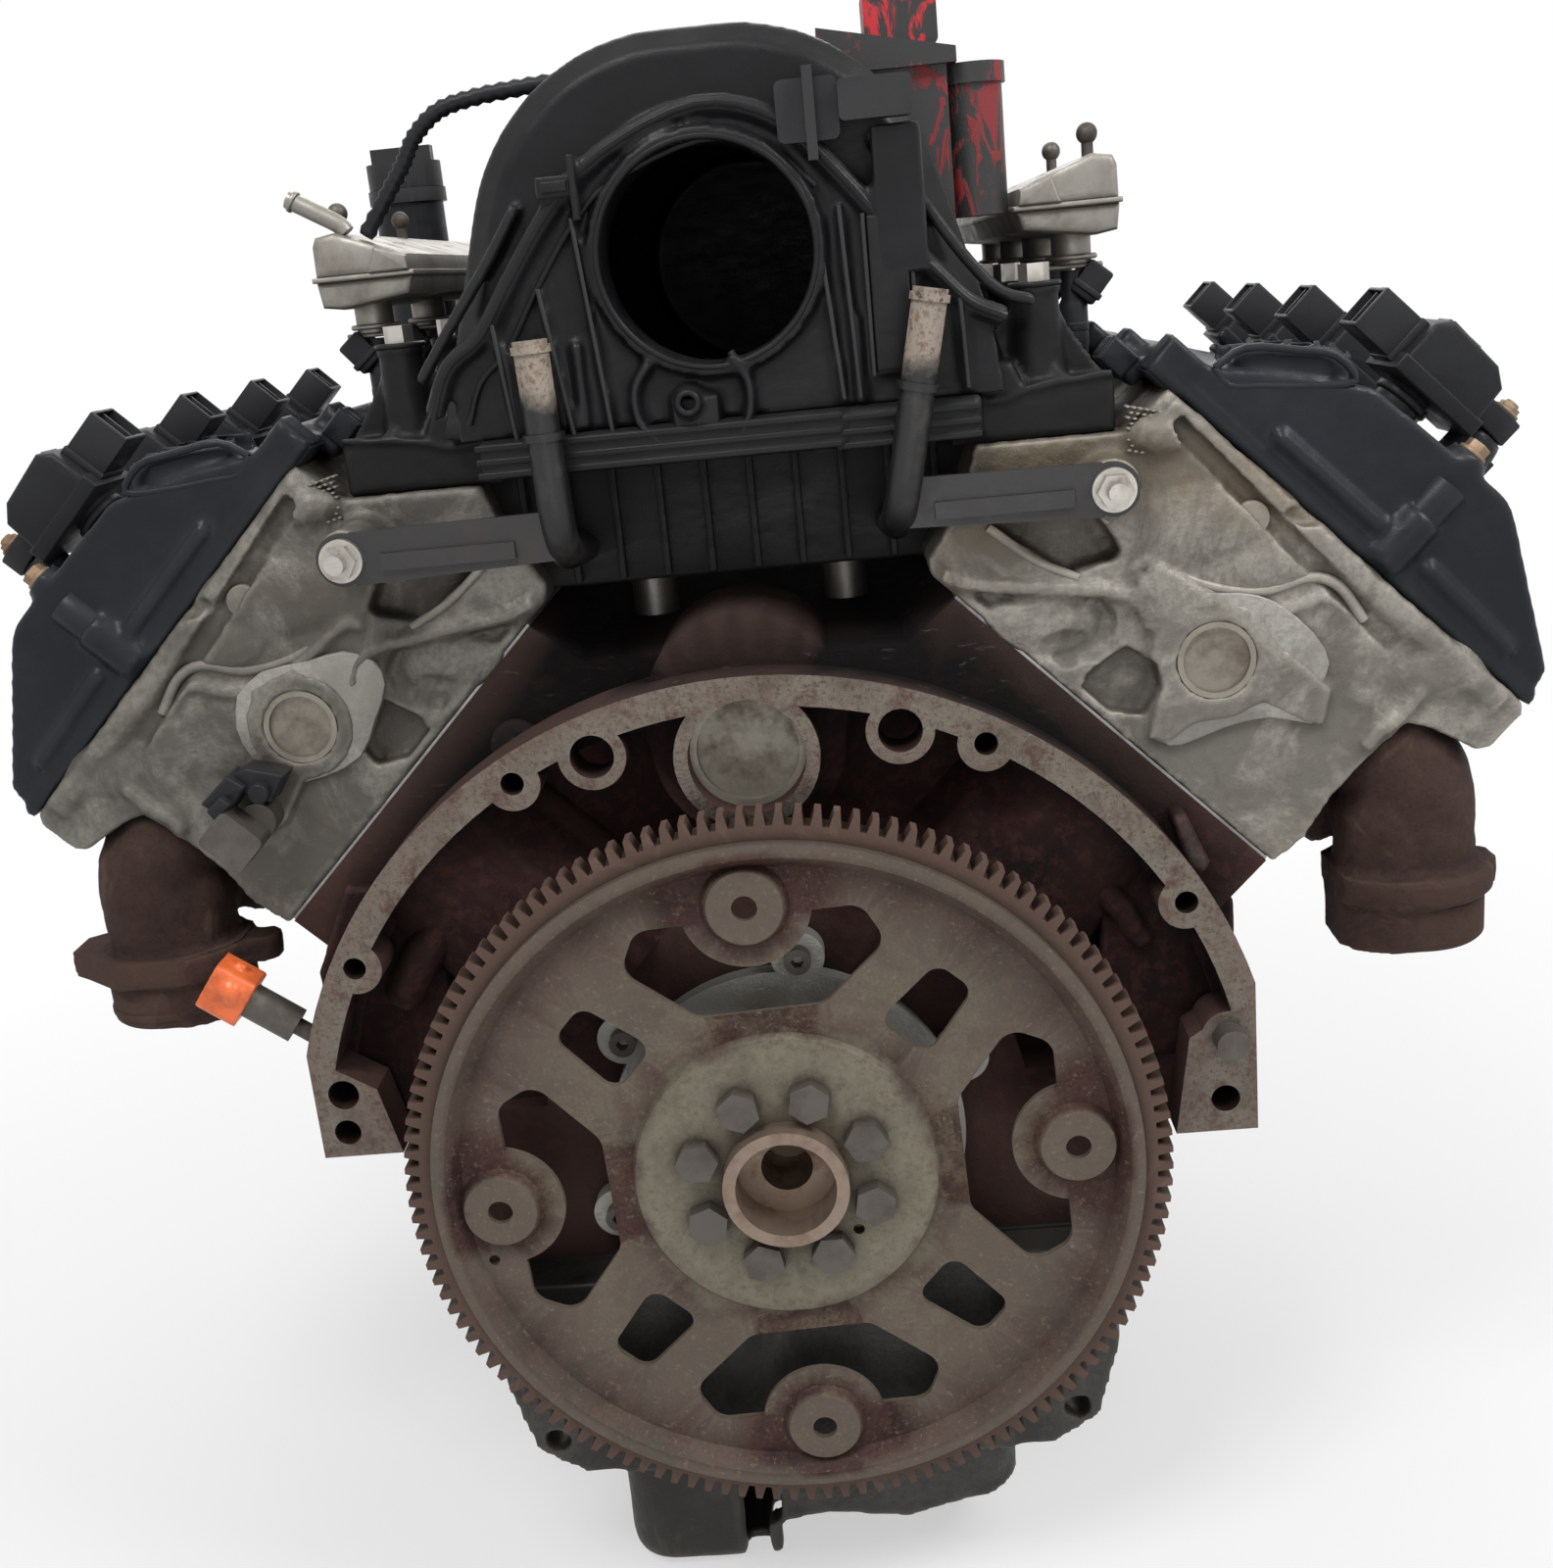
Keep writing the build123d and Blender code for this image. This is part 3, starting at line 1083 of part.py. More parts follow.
def exhaust_manifold(side):
    """Cast log under the head, four short runners, and an elbow down to its flanged outlet."""
    log_x, log_z = (LOG_T + LOG_S) / ROOT2, (LOG_T - LOG_S) / ROOT2
    seat = HEAD_FACE_S + EXHAUST_GASKET + PORT_BOSS
    body = rod(log_x, log_z, LOG_RADIUS, OUTLET_Y, bore_y(CYLINDERS - 1) + 22)
    body += Pos(log_x, OUTLET_Y, log_z) * Sphere(LOG_RADIUS + 2)
    body += port_strip(seat, seat + 9)
    for k in range(CYLINDERS):
        body += along_s(Circle(PORT_RADIUS), PORT_T, bore_y(k), seat + 9, LOG_S)
    body += post(log_x, OUTLET_Y, LOG_RADIUS + 2, OUTLET_BOTTOM + 20, log_z)
    ears = Circle(33) + Rectangle(76, 18) + Pos(38, 0) * Circle(9) + Pos(-38, 0) * Circle(9)
    body += extrude(Plane.XY.offset(OUTLET_BOTTOM + 22) * Pos(log_x, OUTLET_Y) * ears, 12)
    body += post(log_x, OUTLET_Y, OUTLET_RADIUS, OUTLET_BOTTOM, OUTLET_BOTTOM + 22)
    body -= post(log_x, OUTLET_Y, OUTLET_BORE, OUTLET_BOTTOM, log_z - 10)
    return to_bank(body, side)


def exhaust_gasket(side):
    start = HEAD_FACE_S + PORT_BOSS
    sheet = port_strip(start, start + EXHAUST_GASKET)
    for k in range(CYLINDERS):
        sheet -= along_s(Circle(PORT_RADIUS), PORT_T, bore_y(k), start, start + EXHAUST_GASKET)
    return to_bank(sheet, side)


# Sump


def oil_pan():
    """Cast pan: flange under the rail, shallow front tub, deep sump and the lower gearbox face."""
    flange = block_of(-RAIL_HALF_WIDTH, RAIL_HALF_WIDTH, BLOCK_REAR, BLOCK_FRONT + COVER_DEPTH,
                      PAN_RAIL - GASKET - PAN_FLANGE, PAN_RAIL - GASKET)
    top = PAN_RAIL - GASKET
    tub = block_of(-PAN_TUB, PAN_TUB, BLOCK_REAR, PAN_TUB_FRONT, PAN_STEP, top)
    sump = block_of(SUMP_LEFT, SUMP_RIGHT, BLOCK_REAR - 4, SUMP_FRONT, SUMP_BOTTOM, top)
    sump = fillet(sump.edges().filter_by(Axis.Z), 22)
    tub = fillet(tub.edges().filter_by(Axis.Z), 22)
    tub = fillet(tub.edges().filter_by(lambda edge: edge.center().Z < PAN_STEP + 1), 12)
    sump = fillet(sump.edges().filter_by(lambda edge: edge.center().Z < SUMP_BOTTOM + 1), 12)
    pan = flange + tub + sump
    half = [(145, top), (145, -110), (134, -149), (122, -157), (112, -163.5), (93, -165)]
    pan += slab(polygon(half + [(-x, z) for x, z in reversed(half)]), 0, BLOCK_REAR)
    for side in (1, -1):
        pan -= rod(side * PAN_BELL_BOLT[0], PAN_BELL_BOLT[1], 6, 0, BLOCK_REAR)
    pan -= block_of(-PAN_TUB + PAN_WALL, PAN_TUB - PAN_WALL, BLOCK_REAR + PAN_WALL + 4, PAN_TUB_FRONT - PAN_WALL,
                    PAN_STEP + PAN_WALL, top)
    pan -= block_of(SUMP_LEFT + PAN_WALL, SUMP_RIGHT - PAN_WALL, BLOCK_REAR + PAN_WALL + 4,
                    SUMP_FRONT - PAN_WALL, SUMP_BOTTOM + PAN_WALL, top)
    return pan


def pan_gasket():
    sheet = block_of(-RAIL_HALF_WIDTH, RAIL_HALF_WIDTH, BLOCK_REAR, BLOCK_FRONT + COVER_DEPTH,
                     PAN_RAIL - GASKET, PAN_RAIL)
    return sheet - block_of(-CRANKCASE_HALF_WIDTH, CRANKCASE_HALF_WIDTH, BLOCK_REAR + 8,
                            PAN_TUB_FRONT - PAN_WALL, PAN_RAIL - GASKET, PAN_RAIL)


def pan_bolts():
    under = PAN_RAIL - GASKET - PAN_FLANGE
    return [extrude(Plane.XY.offset(under - 7) * Pos(x, y) * hexagon(11), 7)
            for x in (-138, 138) for y in range(50, 500, 86)]


# Oil filler


def filler_neck():
    """Upright neck on the left cover with a collar for its cap."""
    y = NECK_Y + BANK_LEAD
    neck = post(-NECK_X, y, NECK_RADIUS, NECK_TOP - 146, NECK_TOP - 8)
    neck += post(-NECK_X, y, NECK_RADIUS + 2.5, NECK_TOP - 8, NECK_TOP)
    neck -= post(-NECK_X, y, NECK_BORE, NECK_TOP - 146, NECK_TOP)
    under = bank_slab(polygon([(0, -200), (COVER_SEAT + 16, -200)] + COVER_PROFILE[2:5] + [(0, 46)]), 0, y + 60)
    return neck - to_bank(cover_envelope() + under, -1)


def filler_cap():
    y = NECK_Y + BANK_LEAD
    cap = post(-NECK_X, y, NECK_RADIUS + 1.5, NECK_TOP + SOFT_GAP, NECK_TOP + 15)
    cap += extrude(Plane.XY.offset(NECK_TOP + 15) * Pos(-NECK_X, y) * Rectangle(36, 9), 9)
    return cap + post(-NECK_X, y, NECK_BORE - RUNNING_GAP, NECK_TOP - 14, NECK_TOP + SOFT_GAP)


# Pieces on the intake


def vacuum_reservoir():
    """Tank and canister on the right shoulder of the intake."""
    low, seat = THROTTLE_Z - 7, THROTTLE_Z + 65
    tank = block_of(60, 106, 62, 128, low, seat)
    tank += post(116, 78, 13.5, low + 12, seat - 8)
    body = tank - slab(intake_arch(), 0, 600)
    cover = slab(polygon([(54, seat), (110, seat), (110, seat + 6), (54, seat + 18)]), 58, 132)
    lid = cover + (post(116, 78, 15, seat - 8, seat) - block_of(0, 106, 0, 200, seat - 12, seat))
    lid -= slab(intake_arch(), 0, 600)
    solenoid = slab(rounded([(74, seat + 14), (104, seat + 8), (104, seat + 35), (74, seat + 35)], 3), 70, 112)
    solenoid -= cover
    return body, lid, solenoid


def map_sensor():
    rear = INTAKE_REAR - 10
    body = slab(rounded(raised([(36, 424), (60, 424), (60, 447), (36, 447)]), 3), rear + 4, INTAKE_REAR)
    body += slab(Pos(49, 434 + RISE) * Rectangle(4, 34), rear, INTAKE_REAR)
    body += slab(rounded(raised([(60, 430), (88, 430), (88, 445), (60, 445)]), 2), rear, INTAKE_REAR)
    return body


def hose_conduit():
    """Ribbed sleeve from the left rail up over the intake's shoulder."""
    y = RUNNER_START + BORE_SPACING / 2 + RUNNING_GAP + RUNNER_WIDTH / 2
    foot = (-RAIL_INNER - 20, y, RAIL_TOP - 1.5)
    knee = (-RAIL_INNER, y, RAIL_TOP + 25)
    rest = (THROTTLE_X - 54.6, y, THROTTLE_Z + 78.8)
    path = FilletPolyline(foot, knee, (rest[0] - 58.6, y, rest[2] - 3.3), rest, radius=[16, 16])
    plane = Plane(origin=foot, z_dir=Vector(knee[0] - foot[0], 0, knee[2] - foot[2]))
    return sweep(plane * Circle(4), path=path)


# Sensors


def capped_sensor():
    """Sensor on a short rod behind the left side of the gearbox face, under an orange cap."""
    axis = Plane(origin=(-BELL_HALF_WIDTH - 29.5, 24, 83), x_dir=(0, 1, 0), z_dir=(0.8, 0, -0.6))
    body = extrude(axis * Circle(8.2), 24)
    body += extrude(axis.offset(24) * Circle(4), 22) - block_of(-BELL_HALF_WIDTH, 0, 0, 60, 0, 100)
    cap = extrude(axis.offset(-20) * rounded([(-10, -12), (10, -12), (10, 12), (-10, 12)], 4), 20)
    return body, cap


def head_sensor():
    """Sensor and plug on the back of the left head."""
    y = HEAD_REAR - 4
    body = slab(Pos(*lifted([(222, 166)])[0]) * Circle(8), y - 12, y)
    body += slab(rounded(lifted([(216, 160), (232, 176), (246, 162), (230, 146)]), 3), y - 26, y - 12)
    return to_bank(body, -1)


def block_plugs():
    plugs = []
    for side in SIDES.values():
        for k in range(CYLINDERS - 1):
            plug = along_s(Circle(19), DECK_HEIGHT - 44.7, bore_y(k) + BORE_SPACING / 2, DECK_OUTER, DECK_OUTER + 3)
            plugs.append(to_bank(plug, side))
    return plugs


def valley_solenoids():
    """Two metal cylinders standing in the valley between the heads."""
    return [post(side * 47, 150, 11, VALLEY_FLOOR, VALLEY_FLOOR + 24) for side in SIDES.values()]


def dowel():
    pin = rod(DOWEL[0], DOWEL[1], DOWEL_RADIUS, -DOWEL_LENGTH, 0)
    return pin + rod(DOWEL[0], DOWEL[1], DOWEL_SHANK, 0, 20)


def build():
    both = list(SIDES.values())
    add("engine_block", engine_block())
    add("main_bearing_caps", *main_bearing_caps())
    piston_bodies, wrist_pins = pistons()
    add("pistons", *piston_bodies)
    add("wrist_pins", *wrist_pins)
    add("crankshaft", crankshaft())
    add("flexplate", flexplate())
    add("ring_gear", ring_gear())
    add("flexplate_bolts", *flexplate_bolts())
    retainer, screws = seal_retainer()
    add("seal_retainer", retainer)
    add("block_bolts", *cap_bolts(), *screws, dowel())
    add("crank_seals", rear_seal(), front_seal())
    add("core_plugs", rear_plug(), *head_plugs(), *block_plugs())
    add("camshaft", camshaft())
    add("crank_sprocket", sprocket(CRANK_TEETH, 0, SNOUT))
    add("cam_sprocket", sprocket(CAM_TEETH, CAM_HEIGHT, CAM_JOURNAL - 11))
    add("timing_chain", *timing_chain())
    add("timing_cover", timing_cover())
    add("oil_pump", oil_pump(), oil_pickup())
    hub, rubber, ring = damper()
    add("damper_hub", hub)
    add("damper_rubber", rubber)
    add("damper_ring", ring)
    add("damper_bolt", damper_bolt())
    housing, pump_bearing, rotor = water_pump()
    add("water_pump_housing", housing)
    add("water_pump_rotor", rotor)
    add("bearings", *main_bearings(), *cam_bearings(), pump_bearing)
    add("thermostat_housing", thermostat_housing())
    for name, side in SIDES.items():
        add(name + "_cylinder_head", cylinder_head(side))
        add(name + "_valve_cover", valve_cover(side))
        add(name + "_ignition_coils", *ignition_coils(side))
        add(name + "_fuel_rail", fuel_rail(side))
        add(name + "_exhaust_manifold", exhaust_manifold(side))
    add("head_gaskets", *[head_gasket(side) for side in both])
    add("exhaust_gaskets", *[exhaust_gasket(side) for side in both])
    add("heater_pipes", *[heater_pipe(side) for side in both])
    add("pipe_straps", *[strap(side) for side in both])
    add("cover_and_coil_bolts", *cover_bolts(), *coil_bolts())
    add("intake_manifold", intake_manifold())
    add("intake_base", intake_base())
    add("intake_and_strap_bolts", *intake_bolts(), *strap_nuts())
    injectors, rings = fuel_injectors()
    add("fuel_injectors", *injectors)
    add("injector_seals", *rings)
    add("cover_ball_studs", *ball_studs())
    add("oil_pan", oil_pan())
    add("oil_pan_gasket", pan_gasket())
    add("oil_pan_bolts", *pan_bolts())
    add("oil_filler_neck", filler_neck())
    add("oil_filler_cap", filler_cap())
    tank, lid, solenoid = vacuum_reservoir()
    add("vacuum_reservoir", tank)
    add("reservoir_lid", lid)
    add("reservoir_solenoid", solenoid)
    add("map_sensor", map_sensor())
    add("hose_conduit", hose_conduit())
    speed_sensor, cap = capped_sensor()
    add("sensors", speed_sensor, head_sensor())
    add("sensor_cap", cap)
    add("valley_solenoids", *valley_solenoids())


build()
os.makedirs("parts", exist_ok=True)
for name, shape in parts.items():
    export_step(shape, "parts/" + name + ".step")
print(len(parts), "nodes")
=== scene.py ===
import json
from math import cos, pi, radians, sin, sqrt

import bmesh
import bpy
from mathutils import Matrix, Vector


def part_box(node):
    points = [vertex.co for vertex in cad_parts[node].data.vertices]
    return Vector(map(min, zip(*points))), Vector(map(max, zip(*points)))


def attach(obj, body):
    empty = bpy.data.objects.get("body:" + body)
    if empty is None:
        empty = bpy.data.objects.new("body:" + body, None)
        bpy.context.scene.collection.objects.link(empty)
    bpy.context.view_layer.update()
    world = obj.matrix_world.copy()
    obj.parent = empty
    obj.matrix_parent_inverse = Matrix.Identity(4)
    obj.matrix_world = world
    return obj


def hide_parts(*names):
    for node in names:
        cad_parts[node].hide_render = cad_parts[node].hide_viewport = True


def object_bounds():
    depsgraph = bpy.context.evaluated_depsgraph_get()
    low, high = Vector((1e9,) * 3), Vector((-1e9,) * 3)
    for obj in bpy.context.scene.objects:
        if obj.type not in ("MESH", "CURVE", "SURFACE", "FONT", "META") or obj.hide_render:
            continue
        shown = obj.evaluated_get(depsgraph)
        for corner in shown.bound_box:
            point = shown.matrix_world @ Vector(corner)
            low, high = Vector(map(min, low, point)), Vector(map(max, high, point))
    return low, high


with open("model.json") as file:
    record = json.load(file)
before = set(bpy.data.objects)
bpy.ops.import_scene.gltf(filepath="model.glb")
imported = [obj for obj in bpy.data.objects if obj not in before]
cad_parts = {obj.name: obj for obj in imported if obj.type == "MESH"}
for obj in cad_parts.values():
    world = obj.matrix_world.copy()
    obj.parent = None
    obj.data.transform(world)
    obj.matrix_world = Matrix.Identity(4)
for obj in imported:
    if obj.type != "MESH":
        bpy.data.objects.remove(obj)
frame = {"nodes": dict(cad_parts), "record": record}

CAD_BOX = [list(corner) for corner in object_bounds()]
MM = 0.001
ROOT2 = sqrt(2)
SKY = 0.27
FLOOR_Z = -0.2362
PHOTO_WIDTH = 1585      # pixels
FOCAL_LENGTH = 1767.30  # pixels of the photograph
EYE = Vector((49.12, -699.17, 377.25)) * MM

# Driving values, in millimetres: X to the right from behind, Y forward, Z up from the crankshaft
SIDES = {"right": 1, "left": -1}
NAMES = {1: "right", -1: "left"}
LEAD = 24.5             # the left bank sits this much further forward
CYLINDERS = 4           # in each bank
SPACING = 113.3         # from bore to bore
FIRST_BORE = 87.0       # Y of the right bank's rear bore
COIL_Y = -14.0          # a coil's middle, from its bore
PILLAR_S = 34.0         # a coil's screw, outboard of the bank's middle plane
COVER_REAR = 22.5       # back of the right valve cover
HEAD_REAR = 20.5        # back of the right head
PLUG = (200.0, 204.0)   # X and Z of the core plug in the back of a head
PLENUM_REAR = 14.0      # back of the intake's upper half
THROTTLE = (4.0, 387.0)  # X and Z of the throttle opening
RUNNER_Y = 47.0         # middle of the rear runner
TOWER_X = 134.0         # bolt towers of the intake's lower half
TOWER_Y = 36.5
TOWER_STEP = 0.94 * SPACING
RAIL_REAR = 70.0        # rear end of the right fuel rail
INJECTOR_X = 157.0
OUTLET = (289.0, 42.0)  # X and Y of the right exhaust outlet
OUTLET_BORE = 25.0


# Camera: the photograph's own viewpoint, fitted on the ring gear and the rear face

def camera():
    pitch, yaw, roll = 0.2859, -0.054, -0.0994
    forward = Vector((sin(yaw) * cos(pitch), cos(yaw) * cos(pitch), -sin(pitch)))
    right = Vector((cos(yaw), -sin(yaw), 0))
    up = right.cross(forward)
    right, up = cos(roll) * right + sin(roll) * up, -sin(roll) * right + cos(roll) * up
    data = bpy.data.cameras.new("camera")
    data.sensor_fit = "HORIZONTAL"
    data.sensor_width = 36
    data.lens = data.sensor_width * FOCAL_LENGTH / PHOTO_WIDTH
    data.clip_start = 0.02
    data.clip_end = 50
    view = bpy.data.objects.new("camera", data)
    bpy.context.scene.collection.objects.link(view)
    turn = Matrix((right, up, -forward)).transposed().to_4x4()
    view.matrix_world = Matrix.Translation(EYE) @ turn
    bpy.context.scene.camera = view


# Light, background and floor

def plain_view(tree):
    """1 for what the camera sees, directly, in a gloss or through glass."""
    path = tree.nodes.new("ShaderNodeLightPath")
    total = path.outputs["Is Camera Ray"]
    for ray in ("Is Glossy Ray", "Is Transmission Ray"):
        larger = tree.nodes.new("ShaderNodeMath")
        larger.operation = "MAXIMUM"
        tree.links.new(total, larger.inputs[0])
        tree.links.new(path.outputs[ray], larger.inputs[1])
        total = larger.outputs[0]
    return total


def studio():
    """A white surround that lights at SKY, and four disk lamps."""
    scene = bpy.context.scene
    scene.view_settings.view_transform = "Standard"
    world = bpy.data.worlds.new("studio")
    scene.world = world
    world.use_nodes = True
    tree = world.node_tree
    background = tree.nodes["Background"]
    level = tree.nodes.new("ShaderNodeMapRange")
    level.inputs["To Min"].default_value = SKY
    level.inputs["To Max"].default_value = 1.0
    tree.links.new(plain_view(tree), level.inputs["Value"])
    tree.links.new(level.outputs[0], background.inputs["Strength"])
    background.inputs["Color"].default_value = (1, 1, 1, 1)
    lamps = [
        ((-0.45, -0.95, 1.9), 0.8, 25),
        ((1.3, -0.5, 1.5), 0.7, 19),
        ((0.0, 1.6, 1.6), 1.4, 14),
        ((0.1, -1.6, 0.1), 0.9, 2.4),
    ]
    for number, (place, size, power) in enumerate(lamps):
        data = bpy.data.lights.new("lamp_%d" % number, "AREA")
        data.shape = "DISK"
        data.size = size
        data.energy = power
        lamp = bpy.data.objects.new("lamp_%d" % number, data)
        scene.collection.objects.link(lamp)
        aim = Vector((0, 0.2, 0.15)) - Vector(place)
        lamp.rotation_euler = aim.to_track_quat("-Z", "Y").to_euler()
        lamp.location = place


def floor():
    """A plane under the sump."""
    mesh = bpy.data.meshes.new("floor")
    mesh.from_pydata([(x, y, FLOOR_Z) for x, y in box_outline(-6, 6, -6, 6)], [], [(0, 1, 2, 3)])
    piece = bpy.data.objects.new("floor", mesh)
    bpy.context.scene.collection.objects.link(piece)
    material = bpy.data.materials.new("floor")
    material.use_nodes = True
    tree = material.node_tree
    shader = tree.nodes["Principled BSDF"]
    shader.inputs["Base Color"].default_value = (0.86, 0.86, 0.86, 1)
    shader.inputs["Roughness"].default_value = 0.9
    # the floor keeps the shadow near the object and runs into the white background further out
    place = tree.nodes.new("ShaderNodeTexCoord")
    reach = tree.nodes.new("ShaderNodeVectorMath")
    reach.operation = "LENGTH"
    tree.links.new(place.outputs["Object"], reach.inputs[0])
    share = tree.nodes.new("ShaderNodeMapRange")
    for name, value in (("From Min", 0.35), ("From Max", 1.2), ("To Min", 0.55), ("To Max", 1.0)):
        share.inputs[name].default_value = value
    tree.links.new(reach.outputs["Value"], share.inputs["Value"])
    white = tree.nodes.new("ShaderNodeEmission")
    seen = tree.nodes.new("ShaderNodeMath")
    seen.operation = "MULTIPLY"
    tree.links.new(plain_view(tree), seen.inputs[0])
    tree.links.new(share.outputs[0], seen.inputs[1])
    blend = tree.nodes.new("ShaderNodeMixShader")
    tree.links.new(seen.outputs[0], blend.inputs[0])
    tree.links.new(shader.outputs[0], blend.inputs[1])
    tree.links.new(white.outputs[0], blend.inputs[2])
    tree.links.new(blend.outputs[0], tree.nodes["Material Output"].inputs["Surface"])
    mesh.materials.append(material)


# Materials, all procedural in object coordinates

class Paint:
    """A material under construction: its tree, and helpers that add nodes to it."""

    def __init__(self, name):
        self.material = bpy.data.materials.new(name)
        self.material.use_nodes = True
        self.tree = self.material.node_tree
        self.shader = self.tree.nodes["Principled BSDF"]
        self.place = self.node("ShaderNodeTexCoord").outputs["Object"]

    def node(self, kind):
        return self.tree.nodes.new(kind)

    def link(self, a, b):
        self.tree.links.new(a, b)

    def feed(self, socket, value):
        """A number, grey or colour is put on the socket itself; anything else is linked to it."""
        if isinstance(value, tuple):
            socket.default_value = value + (1,)
        elif isinstance(value, (int, float)):
            socket.default_value = value if socket.type == "VALUE" else (value, value, value, 1)
        else:
            self.link(value, socket)

    def noise(self, scale, detail=6, rough=0.6, stretch=None, distort=0.0):
        """Cloudy pattern from 0 to 1, with features about 1 / scale metres across."""
        texture = self.node("ShaderNodeTexNoise")
        texture.inputs["Scale"].default_value = scale
        texture.inputs["Detail"].default_value = detail
        texture.inputs["Roughness"].default_value = rough
        texture.inputs["Distortion"].default_value = distort
        place = self.place
        if stretch:
            mapping = self.node("ShaderNodeMapping")
            mapping.inputs["Scale"].default_value = stretch
            self.link(self.place, mapping.inputs["Vector"])
            place = mapping.outputs["Vector"]
        self.link(place, texture.inputs["Vector"])
        return texture.outputs["Fac"]

    def ramp(self, value, stops):
        """Colours along a value, as (position, (r, g, b)) or (position, grey)."""
        ramp = self.node("ShaderNodeValToRGB")
        points = ramp.color_ramp.elements
        while len(points) < len(stops):
            points.new(0.5)
        for point, (position, colour) in zip(points, stops):
            point.position = position
            if not isinstance(colour, tuple):
                colour = (colour, colour, colour)
            point.color = colour + (1,)
        self.link(value, ramp.inputs["Fac"])
        return ramp.outputs["Color"]

    def rise(self, value, low, high, top=1.0):
        """0 up to low, then rising to top at high."""
        return self.ramp(value, [(low, 0.0), (high, top)])

    def mix(self, a, b, share):
        mixer = self.node("ShaderNodeMix")
        mixer.data_type = "RGBA"
        for number, value in ((0, share), (6, a), (7, b)):
            self.feed(mixer.inputs[number], value)
        return mixer.outputs[2]

    def over(self, colour, tint, mask, share):
        """The tint laid over the colour where the mask says, and no stronger than share."""
        return self.mix(colour, tint, self.math("MULTIPLY", mask, share))

    def math(self, kind, a, b=None):
        unit = self.node("ShaderNodeMath")
        unit.operation = kind
        for socket, value in zip(unit.inputs, (a, b)):
            if value is not None:
                self.feed(socket, value)
        return unit.outputs[0]

    def axes(self, vector):
        """X, Y and Z of a vector."""
        split = self.node("ShaderNodeSeparateXYZ")
        self.link(vector, split.inputs[0])
        return split.outputs

    def from_axis(self):
        """Distance from the crankshaft's axis, in metres."""
        x, _, z = self.axes(self.place)
        x, z = (self.math("POWER", self.math("ABSOLUTE", value), 2.0) for value in (x, z))
        return self.math("SQRT", self.math("ADD", x, z))

    def geometry(self, name):
        return self.node("ShaderNodeNewGeometry").outputs[name]

    def edges(self, low=0.49, high=0.56):
        """Painted highlight along convex edges: 1 where the surface is convex, by pointiness."""
        return self.rise(self.geometry("Pointiness"), low, high)

    def facing(self, axis, low, high):
        """1 where the surface looks along +axis, as dust lies on top."""
        return self.rise(self.axes(self.geometry("Normal"))[axis], low, high)

    def occlusion_shade(self, reach, low=0.35, high=0.85):
        """1 in hollows and corners that are closed in within reach metres, from ambient occlusion: a mask for
        painted shade.
        """
        shade = self.node("ShaderNodeAmbientOcclusion")
        shade.samples = 6
        shade.inputs["Distance"].default_value = reach
        return self.ramp(shade.outputs["AO"], [(low, 1.0), (high, 0.0)])

    def finish(self, colour, rough, metal=0.0, bumps=(), shine=0.5):
        """Bumps are (value, distance in metres); shine is the specular level."""
        for name, value in (("Base Color", colour), ("Roughness", rough), ("Metallic", metal),
                            ("Specular IOR Level", shine)):
            self.feed(self.shader.inputs[name], value)
        normal = None
        for value, depth in bumps:
            bump = self.node("ShaderNodeBump")
            bump.inputs["Strength"].default_value = 1.0
            bump.inputs["Distance"].default_value = depth
            self.link(value, bump.inputs["Height"])
            if normal:
                self.link(normal, bump.inputs["Normal"])
            normal = bump.outputs["Normal"]
        if normal:
            self.link(normal, self.shader.inputs["Normal"])
        return self.material


def shaded(colour, share):
    return tuple(min(1.0, share * c) for c in colour)


def rusty_iron(name, dark, brown, pale, pits=1.0, rough=0.8):
    """Cast iron with an even brown rust, darker in patches and paler where it is rubbed; a painted highlight
    on convex edges and painted shade in hollows.
    """
    p = Paint(name)
    clouds = p.noise(14, 8, 0.65)
    fine = p.noise(160, 8, 0.7)
    grain = p.noise(900, 4, 0.6)
    colour = p.ramp(clouds, [(0.32, dark), (0.5, brown), (0.68, dark)])
    colour = p.mix(colour, brown, p.rise(fine, 0.45, 0.58, 0.85))
    colour = p.mix(colour, shaded(dark, 0.35), p.rise(p.noise(420, 6, 0.75), 0.50, 0.64, 0.4))
    streak = p.rise(p.noise(36, 6, 0.7, distort=1.2), 0.56, 0.68, 0.75)
    colour = p.mix(colour, pale, streak)
    # painted highlight: the pale rust colour laid on convex edges
    colour = p.over(colour, pale, p.edges(), 0.55)
    # painted shade: darker rust in hollows and corners, from ambient occlusion
    colour = p.over(colour, shaded(dark, 0.3), p.occlusion_shade(0.012), 0.7)
    roughness = p.ramp(fine, [(0.3, rough - 0.12), (0.7, min(1.0, rough + 0.12))])
    return p.finish(colour, roughness, 0.0, [(fine, 0.0006 * pits), (grain, 0.00025 * pits)], shine=0.16)


